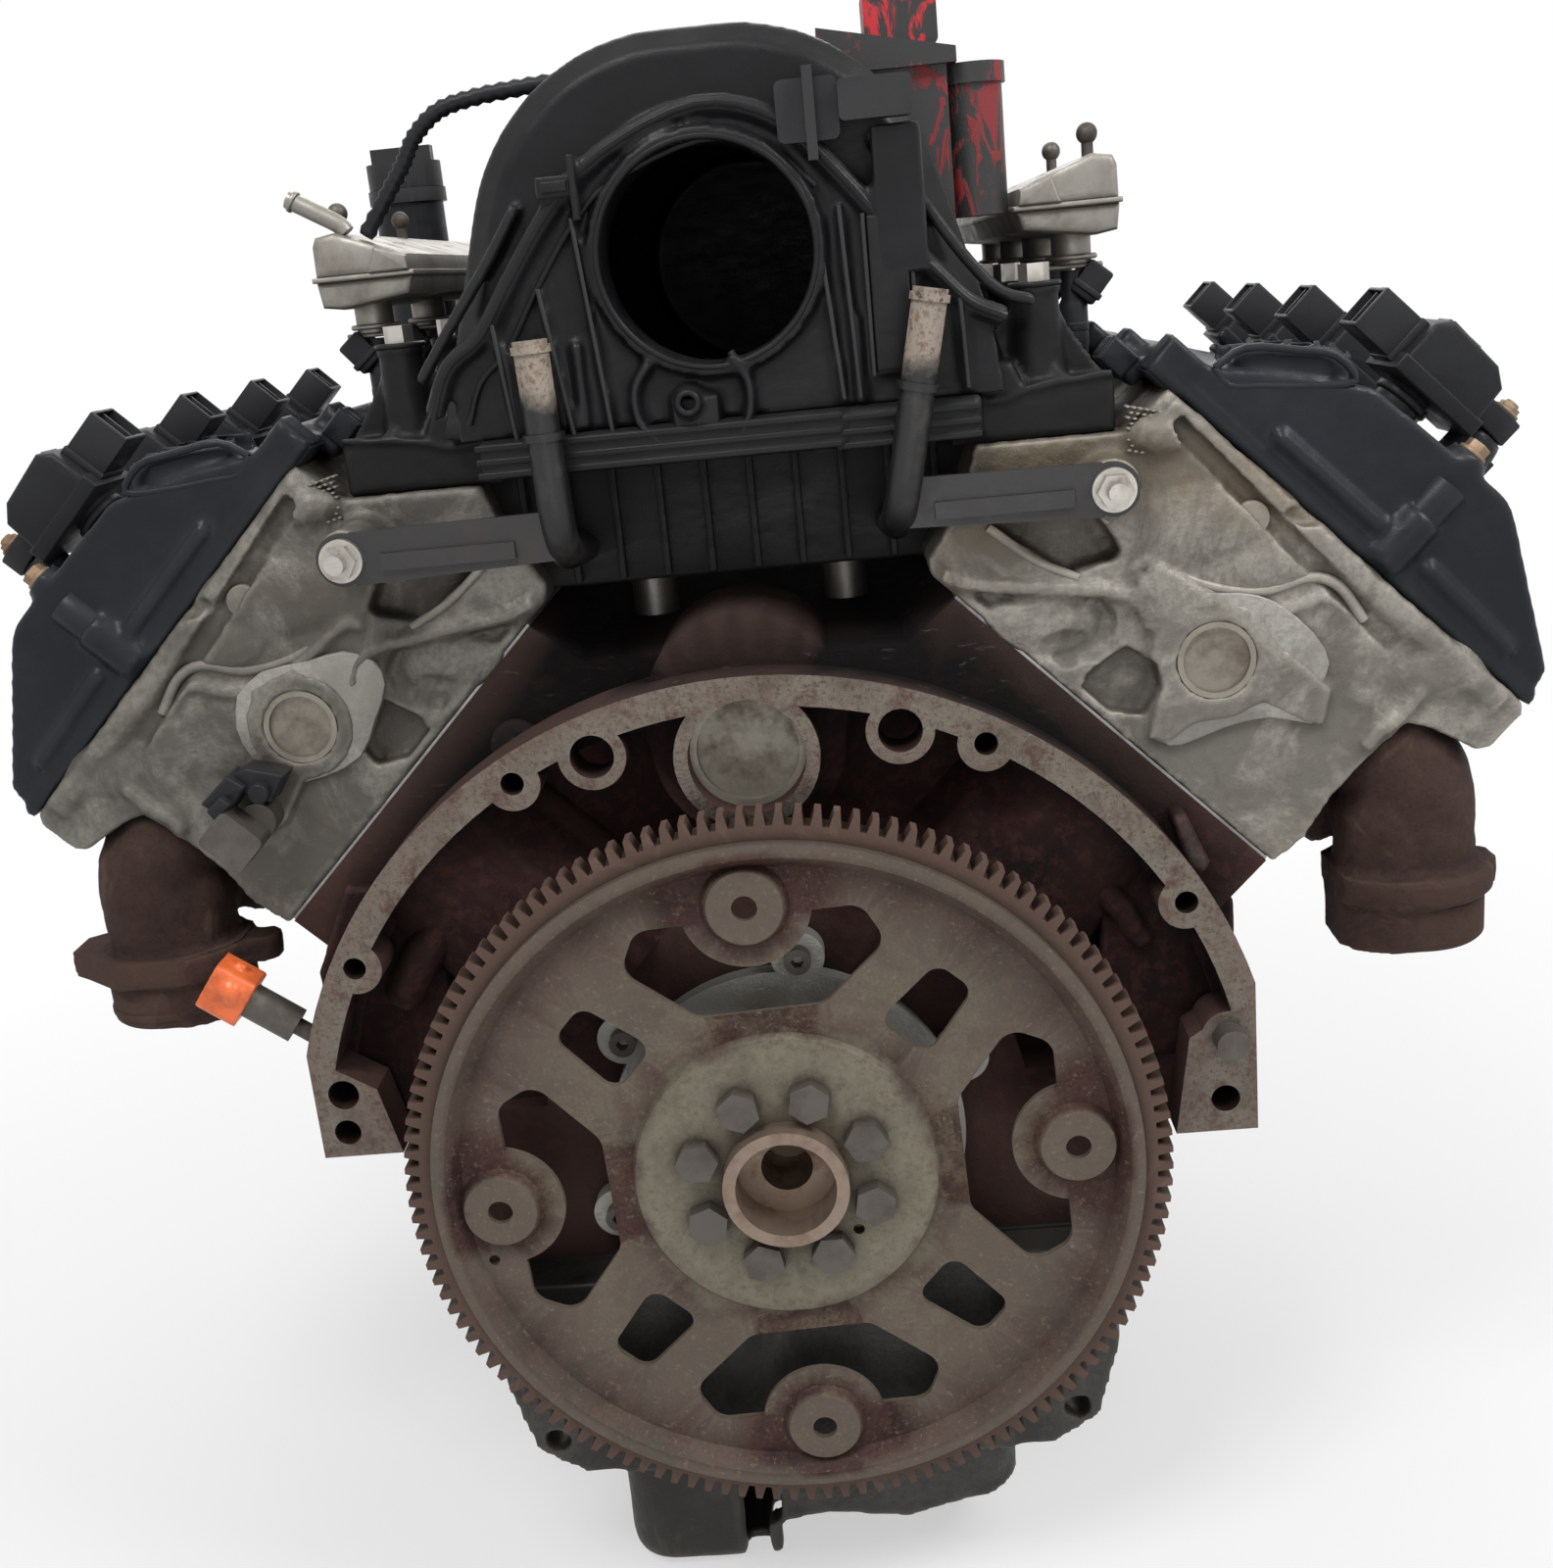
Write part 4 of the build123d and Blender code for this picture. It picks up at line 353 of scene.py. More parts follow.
def cast_aluminium(name, base, stain, dirt=0.6, metal=0.45, shade=0.66):
    """Sand-cast aluminium: fine grain, brown and grey stains, painted shade in creases and hollows, and a
    painted highlight on convex edges.
    """
    p = Paint(name)
    grain = p.noise(1100, 4, 0.6)
    patches = p.noise(18, 9, 0.68, distort=0.6)
    wash = p.noise(9, 6, 0.6)
    drips = p.noise(40, 7, 0.7, stretch=(1, 1, 0.35))
    colour = p.mix(base, shaded(base, shade), p.rise(patches, 0.44, 0.54))
    specks = p.ramp(p.noise(330, 8, 0.8), [(0.40, 0.62), (0.56, 0.0)])
    colour = p.mix(colour, shaded(base, 0.5), specks)
    colour = p.over(colour, stain, p.rise(wash, 0.5, 0.72), dirt)
    colour = p.over(colour, (0.10, 0.085, 0.07), p.rise(drips, 0.56, 0.72), dirt)
    # painted shade: dark colour in concave creases, by pointiness
    hollow = p.ramp(p.geometry("Pointiness"), [(0.42, 1.0), (0.495, 0.0)])
    colour = p.over(colour, (0.06, 0.05, 0.042), hollow, 0.75)
    # painted shade: dark brown in hollows from ambient occlusion, made patchy by noise
    hollow_shade = p.math("MULTIPLY", p.occlusion_shade(0.016, 0.3, 0.95),
                   p.ramp(p.noise(60, 8, 0.7), [(0.3, 0.45), (0.6, 1.0)]))
    colour = p.over(colour, (0.045, 0.034, 0.024), hollow_shade, 0.9)
    # painted highlight: a lighter copy of the base on convex edges
    colour = p.over(colour, shaded(base, 1.35), p.edges(0.505, 0.57), 0.7)
    rough = p.ramp(patches, [(0.4, 0.40), (0.62, 0.60)])
    return p.finish(colour, rough, metal, [(grain, 0.0002), (p.noise(260, 6, 0.6), 0.0005)], shine=0.3)


def moulded_plastic(name, base, rough=0.42, grain_depth=0.00008, dust=0.25):
    """Black filled plastic: fine leathery grain, dusty on top, slightly shiny where rubbed, with a painted
    highlight on convex edges.
    """
    p = Paint(name)
    grain = p.noise(1600, 3, 0.5)
    haze = p.noise(22, 8, 0.7)
    marks = p.noise(55, 9, 0.75, stretch=(1, 1, 3.0))
    colour = p.mix(base, shaded(base, 1.8), p.rise(haze, 0.42, 0.75))
    top = p.math("MULTIPLY", p.facing(2, 0.45, 0.98), p.ramp(haze, [(0.4, 0.1), (0.7, 1.0)]))
    colour = p.over(colour, (0.055, 0.053, 0.049), top, dust)
    # painted highlight: grey on convex edges
    colour = p.over(colour, (0.075, 0.075, 0.075), p.edges(0.51, 0.62), 0.4)
    roughness = p.ramp(marks, [(0.35, rough - 0.08), (0.7, rough + 0.2)])
    return p.finish(colour, roughness, 0.0, [(grain, grain_depth), (p.noise(120, 5, 0.6), 0.00012)],
                    shine=0.17)


def worn_steel(name, base, stain, rough=0.38, metal=0.85):
    p = Paint(name)
    fine = p.noise(300, 7, 0.65)
    patches = p.noise(45, 8, 0.7)
    colour = p.mix(base, stain, p.rise(patches, 0.46, 0.66))
    # painted highlight: a lighter copy of the base on convex edges
    colour = p.over(colour, shaded(base, 1.3), p.edges(0.5, 0.58), 0.6)
    roughness = p.ramp(patches, [(0.4, rough), (0.65, min(1.0, rough + 0.3))])
    return p.finish(colour, roughness, metal, [(fine, 0.00015)])


def flexplate_paint():
    """Maroon rust with pale rubbed metal between the windows, and a pale green-grey middle."""
    p = Paint("flexplate_paint")
    radius = p.from_axis()
    clouds = p.noise(16, 9, 0.68)
    fine = p.noise(210, 8, 0.72)
    ragged = p.math("ADD", radius, p.math("MULTIPLY", p.math("SUBTRACT", p.noise(30, 9, 0.72), 0.5), 0.055))
    maroon = p.ramp(clouds, [(0.34, (0.020, 0.009, 0.008)), (0.50, (0.066, 0.031, 0.026)),
                             (0.64, (0.026, 0.012, 0.011))])
    maroon = p.mix(maroon, (0.095, 0.050, 0.037), p.rise(fine, 0.5, 0.64, 0.7))
    rubbed = p.rise(p.noise(24, 9, 0.74, distort=0.8), 0.47, 0.56)
    band = p.ramp(ragged, [(0.066, 0.0), (0.076, 1.0), (0.104, 0.75), (0.126, 0.0)])
    colour = p.over(maroon, (0.120, 0.088, 0.057), p.math("MULTIPLY", rubbed, band), 0.85)
    pale = p.ramp(p.noise(60, 9, 0.75), [(0.35, (0.125, 0.11, 0.078)), (0.55, (0.22, 0.20, 0.15)),
                                         (0.7, (0.15, 0.118, 0.078))])
    pale = p.mix(pale, (0.12, 0.075, 0.05), p.rise(p.noise(38, 9, 0.78, distort=1.0), 0.56, 0.70, 0.8))
    specks = p.ramp(p.noise(500, 7, 0.8), [(0.40, 0.65), (0.53, 0.0)])
    colour = p.mix(colour, (0.020, 0.011, 0.010), specks)
    glints = p.rise(p.noise(380, 6, 0.7, distort=0.5), 0.58, 0.66, 0.6)
    colour = p.over(colour, (0.21, 0.16, 0.125), glints, 0.9)
    pale = p.mix(pale, (0.085, 0.066, 0.042), p.rise(p.noise(300, 8, 0.8), 0.50, 0.62, 0.75))
    colour = p.mix(pale, colour, p.rise(ragged, 0.064, 0.0685))
    # painted highlight: pale colour on convex edges
    colour = p.over(colour, (0.21, 0.19, 0.15), p.edges(0.505, 0.58), 0.4)
    # painted shade: dark maroon in hollows and corners, from ambient occlusion
    colour = p.over(colour, (0.016, 0.008, 0.007), p.occlusion_shade(0.014, 0.35, 0.9), 0.75)
    metal = p.ramp(ragged, [(0.064, 0.5), (0.0685, 0.12)])
    rough = p.ramp(fine, [(0.3, 0.5), (0.7, 0.74)])
    return p.finish(colour, rough, metal, [(fine, 0.0003), (p.noise(1200, 3, 0.6), 0.0001)], shine=0.22)


def block_paint():
    """Rusty casting, pale where the gearbox face was machined, and painted black on top."""
    p = Paint("block_paint")
    _, y, z = p.axes(p.place)
    clouds = p.noise(13, 9, 0.66)
    fine = p.noise(150, 8, 0.7)
    grain = p.noise(800, 4, 0.6)
    colour = p.ramp(clouds, [(0.33, (0.006, 0.0035, 0.0035)), (0.5, (0.024, 0.0095, 0.009)),
                             (0.68, (0.009, 0.0045, 0.0045))])
    colour = p.mix(colour, (0.052, 0.021, 0.018), p.rise(fine, 0.48, 0.60, 0.7))
    # machined face: near y = 0 and looking backwards
    near = p.ramp(y, [(0.0, 1.0), (0.0035, 1.0), (0.0045, 0.0)])
    back = p.rise(p.math("MULTIPLY", p.axes(p.geometry("Normal"))[1], -1.0), 0.8, 0.95)
    face = p.math("MULTIPLY", near, back)
    machined = p.ramp(p.noise(34, 9, 0.75), [(0.34, (0.10, 0.085, 0.068)), (0.52, (0.20, 0.182, 0.152)),
                                             (0.66, (0.11, 0.080, 0.062))])
    machined = p.mix(machined, (0.075, 0.032, 0.028), p.rise(p.noise(70, 9, 0.78), 0.52, 0.62, 0.8))
    machined = p.mix(machined, (0.04, 0.026, 0.022), p.rise(p.noise(420, 7, 0.8), 0.52, 0.62, 0.8))
    # black paint on the deck sides and the valley
    ragged = p.math("ADD", p.from_axis(), p.math("MULTIPLY", clouds, 0.012))
    high = p.math("MULTIPLY", p.rise(ragged, 0.212, 0.222), p.rise(z, 0.13, 0.16))
    black = p.mix((0.004, 0.0038, 0.0038), (0.016, 0.010, 0.009), p.rise(p.noise(26, 9, 0.75), 0.54, 0.66))
    scratches = p.rise(p.noise(60, 9, 0.7, stretch=(1, 1, 6.0), distort=0.4), 0.62, 0.68, 0.6)
    black = p.mix(black, (0.11, 0.10, 0.095), scratches)
    colour = p.over(colour, black, high, 0.95)
    colour = p.mix(colour, machined, face)
    # painted highlight: pale rust colour on convex edges
    colour = p.over(colour, (0.15, 0.09, 0.075), p.edges(0.51, 0.6), 0.35)
    metal = p.math("MULTIPLY", face, 0.4)
    rough = p.mix(p.ramp(fine, [(0.3, 0.68), (0.7, 0.92)]), 0.45, face)
    # painted shade: near-black in hollows and corners, from ambient occlusion
    colour = p.over(colour, (0.006, 0.004, 0.004), p.occlusion_shade(0.03, 0.3, 0.85), 0.7)
    return p.finish(colour, rough, metal, [(fine, 0.0007), (grain, 0.0003)], shine=0.14)


def pipe_paint():
    """Black pipe whose open end is corroded white and brown."""
    p = Paint("pipe_paint")
    ragged = p.math("ADD", p.axes(p.place)[2], p.math("MULTIPLY", p.noise(60, 8, 0.7), 0.02))
    end = p.rise(ragged, 0.345, 0.352)
    crust = p.ramp(p.noise(190, 8, 0.75), [(0.36, (0.10, 0.055, 0.035)), (0.5, (0.36, 0.31, 0.26)),
                                           (0.64, (0.20, 0.13, 0.09))])
    base = p.mix((0.012, 0.012, 0.013), (0.05, 0.045, 0.04), p.rise(p.noise(70, 8, 0.7), 0.5, 0.75))
    colour = p.mix(base, crust, end)
    rough = p.mix(0.34, 0.8, end)
    return p.finish(colour, rough, 0.2, [(p.noise(260, 7, 0.7), 0.0004)])


def smeared(name, base, smear, threshold=0.5):
    """Black plastic with dabs of brushed-on marking paint."""
    p = Paint(name)
    dabs = p.rise(p.noise(75, 6, 0.6, stretch=(1, 1, 0.4), distort=1.5), threshold, threshold + 0.05)
    grain = p.noise(1500, 3, 0.5)
    colour = p.mix(base, smear, dabs)
    return p.finish(colour, p.mix(0.42, 0.6, dabs), 0.0, [(grain, 0.0001), (dabs, 0.0001)])


def plain_rubber(name, base, rough=0.55):
    p = Paint(name)
    haze = p.noise(90, 7, 0.7)
    colour = p.mix(base, shaded(base, 0.6), p.rise(haze, 0.45, 0.7))
    return p.finish(colour, p.ramp(haze, [(0.4, rough - 0.1), (0.7, rough + 0.15)]), 0.0,
                    [(p.noise(700, 4, 0.6), 0.00012)])


def all_paints():
    iron = rusty_iron("exhaust_rust", (0.014, 0.009, 0.0085), (0.048, 0.028, 0.024), (0.10, 0.060, 0.045),
                      1.4)
    teeth = rusty_iron("ring_rust", (0.028, 0.015, 0.013), (0.070, 0.037, 0.030), (0.15, 0.10, 0.078), 0.5,
                       0.62)
    right_head = cast_aluminium("right_head_casting", (0.29, 0.27, 0.235), (0.145, 0.105, 0.06), 0.9, 0.3,
                                0.55)
    # painted shade: the left head takes a darker copy of the right head's aluminium
    shaded_left_head = cast_aluminium("left_head_casting", (0.21, 0.197, 0.172), (0.10, 0.075, 0.048), 0.95, 0.3,
                               0.5)
    pan = cast_aluminium("pan_casting", (0.060, 0.058, 0.052), (0.028, 0.024, 0.02), 0.9, 0.2)
    light = cast_aluminium("front_casting", (0.34, 0.33, 0.30), (0.17, 0.14, 0.10), 0.5)
    plastic = moulded_plastic("intake_plastic", (0.0075, 0.0078, 0.0085), 0.36)
    cover = moulded_plastic("cover_plastic", (0.0115, 0.0130, 0.0165), 0.33)
    coil = moulded_plastic("coil_plastic", (0.0085, 0.0092, 0.0110), 0.38)
    dark = worn_steel("dark_bolts", (0.095, 0.085, 0.075), (0.045, 0.028, 0.022), 0.45, 0.6)
    bright = worn_steel("bright_steel", (0.40, 0.38, 0.35), (0.18, 0.14, 0.10), 0.30, 0.85)
    steel = worn_steel("shaft_steel", (0.24, 0.185, 0.145), (0.12, 0.06, 0.038), 0.38, 0.75)
    pewter = worn_steel("rail_pewter", (0.25, 0.235, 0.21), (0.17, 0.15, 0.125), 0.38, 0.6)
    paints = {
        "engine_block": block_paint(),
        "flexplate": flexplate_paint(),
        "crank_seals": plain_rubber("seal_rubber", (0.02, 0.02, 0.02)),
        "core_plugs": worn_steel("plug_steel", (0.22, 0.20, 0.165), (0.13, 0.105, 0.08), 0.4, 0.6),
        "damper_rubber": plain_rubber("damper_rubber", (0.02, 0.02, 0.02)),
        "head_gaskets": worn_steel("gasket_steel", (0.3, 0.3, 0.29), (0.1, 0.09, 0.08)),
        "exhaust_gaskets": worn_steel("exhaust_gasket_steel", (0.2, 0.17, 0.15), (0.1, 0.06, 0.05), 0.6, 0.4),
        "heater_pipes": pipe_paint(),
        "pipe_straps": worn_steel("strap_black", (0.018, 0.018, 0.019), (0.06, 0.045, 0.035), 0.35, 0.1),
        "cover_and_coil_bolts": worn_steel("cover_bolt_rust", (0.24, 0.17, 0.11), (0.18, 0.07, 0.03), 0.5,
                                           0.6),
        "intake_base": moulded_plastic("base_plastic", (0.007, 0.0072, 0.0076), 0.42),
        "injector_seals": plain_rubber("orange_rubber", (0.72, 0.22, 0.03), 0.45),
        "vacuum_reservoir": smeared("smeared_tank", (0.016, 0.016, 0.017), (0.20, 0.015, 0.018), 0.52),
        "reservoir_lid": smeared("smeared_lid", (0.016, 0.016, 0.017), (0.22, 0.015, 0.018), 0.58),
        "reservoir_solenoid": smeared("smeared_solenoid", (0.016, 0.016, 0.017), (0.55, 0.02, 0.03), 0.5),
        "sensor_cap": plain_rubber("orange_cap", (0.86, 0.17, 0.045), 0.38),
        "ring_gear": teeth,
        "right_cylinder_head": right_head,
        "left_cylinder_head": shaded_left_head,
        "oil_pan": pan,
    }
    shared = [
        (iron, "main_bearing_caps right_exhaust_manifold left_exhaust_manifold"),
        (light, "pistons seal_retainer timing_cover oil_pump water_pump_housing thermostat_housing"),
        (bright, "wrist_pins damper_bolt water_pump_rotor bearings intake_and_strap_bolts "
                 "valley_solenoids"),
        (steel, "crankshaft camshaft crank_sprocket cam_sprocket"),
        (dark, "flexplate_bolts block_bolts timing_chain damper_hub damper_ring cover_ball_studs "
               "oil_pan_bolts sensors"),
        (cover, "right_valve_cover left_valve_cover"),
        (coil, "right_ignition_coils left_ignition_coils fuel_injectors oil_filler_neck "
               "oil_filler_cap map_sensor hose_conduit"),
        (pewter, "right_fuel_rail left_fuel_rail"),
        (plastic, "intake_manifold oil_pan_gasket"),
    ]
    for paint, nodes in shared:
        for node in nodes.split():
            paints[node] = paint
    return paints


# Modelling tools

class Form:
    """Closed shells that may run into each other, put together before they are skinned."""

    def __init__(self):
        self.mesh = bmesh.new()

    def shell(self, rings):
        """Skins rings of points that all have the same count, and closes both ends."""
        rows = [[self.mesh.verts.new(Vector(p) * MM) for p in ring] for ring in rings]
        count = len(rows[0])
        for low, high in zip(rows, rows[1:]):
            for i in range(count):
                j = (i + 1) % count
                self.mesh.faces.new((low[i], low[j], high[j], high[i]))
        self.mesh.faces.new(rows[0][::-1])
        self.mesh.faces.new(rows[-1])
        return self

    def slab(self, place, outline, near, far, round_by=0.0):
        """Outline in a plane of place, run from near to far, its edges rounded by round_by."""
        if not round_by:
            return self.shell([[place(u, v, w) for u, v in outline] for w in (near, far)])
        step = round_by if far > near else -round_by
        rings = []
        for w, inset in ((near, round_by), (near + step * 0.3, round_by * 0.3), (near + step, 0.0),
                         (far - step, 0.0), (far - step * 0.3, round_by * 0.3), (far, round_by)):
            rings.append([place(u, v, w) for u, v in shrunk(outline, inset)])
        return self.shell(rings)

    def rod(self, place, u, v, radius, near, far, round_by=0.0, sides=28):
        outline = [(u + radius * cos(2 * pi * k / sides), v + radius * sin(2 * pi * k / sides))
                   for k in range(sides)]
        return self.slab(place, outline, near, far, round_by)

    def ring(self, place, u, v, outer, inner, near, far, sides=48):
        """A short tube with slightly rounded lips."""
        soft = min(0.3 * (outer - inner), 0.3 * abs(far - near))
        step = soft if far > near else -soft
        profile = [(outer - soft, near), (outer, near + step), (outer, far - step), (outer - soft, far),
                   (inner + soft, far), (inner, far - step), (inner, near + step), (inner + soft, near)]
        turns = [2 * pi * k / sides for k in range(sides)]
        rows = [[self.mesh.verts.new(Vector(place(u + r * cos(a), v + r * sin(a), w)) * MM)
                 for r, w in profile] for a in turns]
        for k in range(sides):
            near_row, far_row = rows[k], rows[(k + 1) % sides]
            for i in range(len(profile)):
                j = (i + 1) % len(profile)
                self.mesh.faces.new((near_row[i], near_row[j], far_row[j], far_row[i]))
        return self

    def tube(self, path, radius, sides=14, flat=1.0):
        """A rounded bar along a path of points; flat under 1 squashes it along its second axis."""
        points = [Vector(p) for p in path]
        rings = []
        for k, point in enumerate(points):
            ahead = points[min(k + 1, len(points) - 1)] - points[max(k - 1, 0)]
            ahead.normalize()
            first = ahead.cross(Vector((0, 1, 0)))
            if first.length < 0.2:
                first = ahead.cross(Vector((1, 0, 0)))
            first.normalize()
            second = ahead.cross(first)
            size = radius[k] if isinstance(radius, (list, tuple)) else radius
            turns = [2 * pi * i / sides for i in range(sides)]
            rings.append([point + first * size * cos(a) + second * size * flat * sin(a) for a in turns])
        return self.shell(rings)

    def ball(self, centre, radius, squash=(1, 1, 1)):
        matrix = (Matrix.Translation(Vector(centre) * MM)
                  @ Matrix.Diagonal((*[radius * MM * s for s in squash], 1)))
        bmesh.ops.create_icosphere(self.mesh, subdivisions=3, radius=1, matrix=matrix)
        return self

    def data(self, name):
        bmesh.ops.recalc_face_normals(self.mesh, faces=self.mesh.faces)
        mesh = bpy.data.meshes.new(name)
        self.mesh.to_mesh(mesh)
        return mesh


def shrunk(outline, inset):
    """The outline drawn in by inset along the normals of its corners."""
    if not inset:
        return outline
    area = sum(a[0] * b[1] - b[0] * a[1] for a, b in zip(outline, outline[1:] + outline[:1]))
    turn = 1 if area > 0 else -1
    result = []
    for k, (u, v) in enumerate(outline):
        before, after = outline[k - 1], outline[(k + 1) % len(outline)]
        a = Vector((u - before[0], v - before[1])).normalized()
        b = Vector((after[0] - u, after[1] - v)).normalized()
        inward = Vector((-(a.y + b.y), a.x + b.x))
        if inward.length < 1e-6:
            inward = Vector((-a.y, a.x))
        inward.normalize()
        reach = inset / max(0.5, inward.dot(Vector((-a.y, a.x))))
        result.append((u + turn * inward.x * reach, v + turn * inward.y * reach))
    return result


def across(u, v, w):
    """Outlines drawn in X and Z, run along Y."""
    return (u, w, v)


def upright(u, v, w):
    """Outlines drawn in X and Y, run along Z."""
    return (u, v, w)


def bore_y(k):
    return FIRST_BORE + k * SPACING


def coil_y(k):
    return bore_y(k) + COIL_Y


def injector_y(k, side):
    return bore_y(k) + 5 + lead(side)


def runner_y(k):
    return RUNNER_Y + k * SPACING / 2


def outlet(side):
    return side * OUTLET[0], OUTLET[1] + lead(side)


def lead(side):
    return LEAD if side < 0 else 0


def bank_end(side):
    """Outlines drawn away from the crankshaft and outboard, run along Y."""
    return lambda t, s, y: (side * (t + s) / ROOT2, y + lead(side), (t - s) / ROOT2)


def bank_top(side):
    """Outlines drawn along Y and outboard, run away from the crankshaft."""
    return lambda y, s, t: bank_end(side)(t, s, y)


def bank_side(side):
    """Outlines drawn along Y and away from the crankshaft, run outboard."""
    return lambda y, t, s: bank_end(side)(t, s, y)


def mirrored(side):
    """Outlines drawn in X and Z of the right side, run along Y."""
    return lambda u, v, w: (side * u, w, v)


def box_outline(u0, u1, v0, v1):
    return [(u0, v0), (u1, v0), (u1, v1), (u0, v1)]


def curve(points, steps=6):
    """A smooth run through the points."""
    points = [Vector(p) for p in points]
    padded = [2 * points[0] - points[1]] + points + [2 * points[-1] - points[-2]]
    run = []
    for a, b, c, d in zip(padded, padded[1:], padded[2:], padded[3:]):
        for k in range(steps):
            x = k / steps
            run.append(0.5 * (2 * b + (c - a) * x + (2 * a - 5 * b + 4 * c - d) * x * x
                              + (3 * b - 3 * c + d - a) * x ** 3))
    run.append(points[-1])
    return [tuple(p) for p in run]


def hexagon(u, v, flats, turn=0.0):
    radius = flats / sqrt(3)
    return [(u + radius * cos(turn + k * pi / 3), v + radius * sin(turn + k * pi / 3)) for k in range(6)]


# Turning CAD nodes and forms into finished pieces

RECORD = frame["record"]
BODY_OF = {node: body for body, nodes in RECORD["behaviour"]["bodies"].items() for node in nodes}
COARSE = 1.0


def link(name, mesh):
    piece = bpy.data.objects.new(name, mesh)
    bpy.context.scene.collection.objects.link(piece)
    return piece


def node_copy(node, name):
    """A welded copy of a CAD node's mesh."""
    shape = bmesh.new()
    shape.from_mesh(frame["nodes"][node].data)
    shape.transform(frame["nodes"][node].matrix_world)
    bmesh.ops.remove_doubles(shape, verts=shape.verts, dist=0.00002)
    mesh = bpy.data.meshes.new(name)
    shape.to_mesh(mesh)
    shape.free()
    return mesh


def apply_all(piece):
    """Bakes the piece's modifiers into its mesh."""
    graph = bpy.context.evaluated_depsgraph_get()
    mesh = bpy.data.meshes.new_from_object(piece.evaluated_get(graph))
    old = piece.data
    piece.modifiers.clear()
    piece.data = mesh
    bpy.data.meshes.remove(old)
    return piece


def modify(piece, kind, **values):
    modifier = piece.modifiers.new(kind.lower(), kind)
    for key, value in values.items():
        setattr(modifier, key, value)
    return modifier


def cut_away(piece, form):
    """Take a form's shape out of a piece."""
    tool = link("cutter", form.data("cutter"))
    modify(piece, "BOOLEAN", operation="DIFFERENCE", object=tool, solver="MANIFOLD")
    apply_all(piece)
    bpy.data.objects.remove(tool)


def joined(name, meshes):
    """One mesh from several."""
    whole = bmesh.new()
    for mesh in meshes:
        whole.from_mesh(mesh)
    result = bpy.data.meshes.new(name)
    whole.to_mesh(result)
    whole.free()
    return result


def dent(piece, size, depth):
    """Push a surface about by depth, in metres, in a cloud pattern."""
    texture = bpy.data.textures.new("dents", "CLOUDS")
    texture.noise_scale = size
    texture.noise_depth = 3
    modify(piece, "DISPLACE", texture=texture, strength=depth, mid_level=0.5, texture_coords="GLOBAL")


def dress(piece, node, paint=None):
    """The piece rides the node's body and takes its finish."""
    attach(piece, BODY_OF[node])
    piece.data.materials.clear()
    piece.data.materials.append(paint or PAINTS[node])
    return piece


def cast(node, add=None, cut=None, voxel=1.8, soften=2, rough=((0.012, 0.0006),)):
    """A casting or moulding: the node and its added forms grown together, cut, softened and roughened."""
    meshes = [node_copy(node, node + "_base")]
    if add:
        meshes.append(add.data(node + "_added"))
    piece = link(node + "_skin", joined(node + "_skin", meshes))
    modify(piece, "REMESH", mode="VOXEL", voxel_size=voxel * COARSE * MM, use_smooth_shade=True)
    apply_all(piece)
    if cut:
        cut_away(piece, cut)
        modify(piece, "REMESH", mode="VOXEL", voxel_size=voxel * COARSE * MM, use_smooth_shade=True)
    modify(piece, "SMOOTH", factor=0.5, iterations=soften)
    for size, depth in rough:
        dent(piece, size, depth)
    apply_all(piece)
    for vertex in piece.data.vertices:
        vertex.co = [min(max(c, low), high) for c, low, high in zip(vertex.co, *CAD_BOX)]
    piece.data.shade_smooth()
    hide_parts(node)
    return dress(piece, node)


def machined(name, node, form, bevel=0.5, smooth=True, paint=None, cut=None):
    """A crisp piece with small bevels on its edges."""
    piece = link(name, form.data(name))
    if cut:
        cut_away(piece, cut)
    if bevel:
        modify(piece, "BEVEL", width=bevel * MM, segments=2, limit_method="ANGLE", angle_limit=radians(32))
    apply_all(piece)
    if smooth:
        piece.data.shade_smooth()
        piece.data.set_sharp_from_angle(angle=radians(38))
    return dress(piece, node, paint)


# Intake: the plenum and runners, and the slab that they stand on

# lines on the plenum's back, seen from behind, as X and Z
SEAM = [(-113, 334), (-104, 353), (-89, 364), (-75, 384), (-55.5, 409), (-33, 428), (5.5, 442), (36, 434),
        (58, 412), (78, 387), (92, 373), (105.5, 359), (119.5, 352)]
RIBS = [((-47.5, 405), (-41, 322)), ((-64, 380), (-56.6, 322)), ((47.4, 402), (53.4, 326)),
        ((57, 400), (60, 326)), ((101.7, 362), (103, 326)), ((-84, 368), (-80, 322))]
PANEL_EDGES = [((66, 396), (66, 334)), ((84, 390), (84, 334))]


def plenum_ribs(form, ribs, near, far, round_by=0.0):
    for (x0, z0), (x1, z1) in ribs:
        outline = [(x0 - 0.8, z0), (x0 + 0.8, z0), (x1 + 0.8, z1), (x1 - 0.8, z1)]
        form.slab(across, outline, PLENUM_REAR + near, PLENUM_REAR + far, round_by)


def plenum_arcs(top, bottom):
    """The two bowed ribs beside the nipple under the throttle."""
    return ([(-23, top), (-29.5, 339), (-30.5, 330), (-28, 322), (-22, bottom)],
            [(9.5, top), (15, 339), (16, 331), (14.5, 323), (11, bottom)])


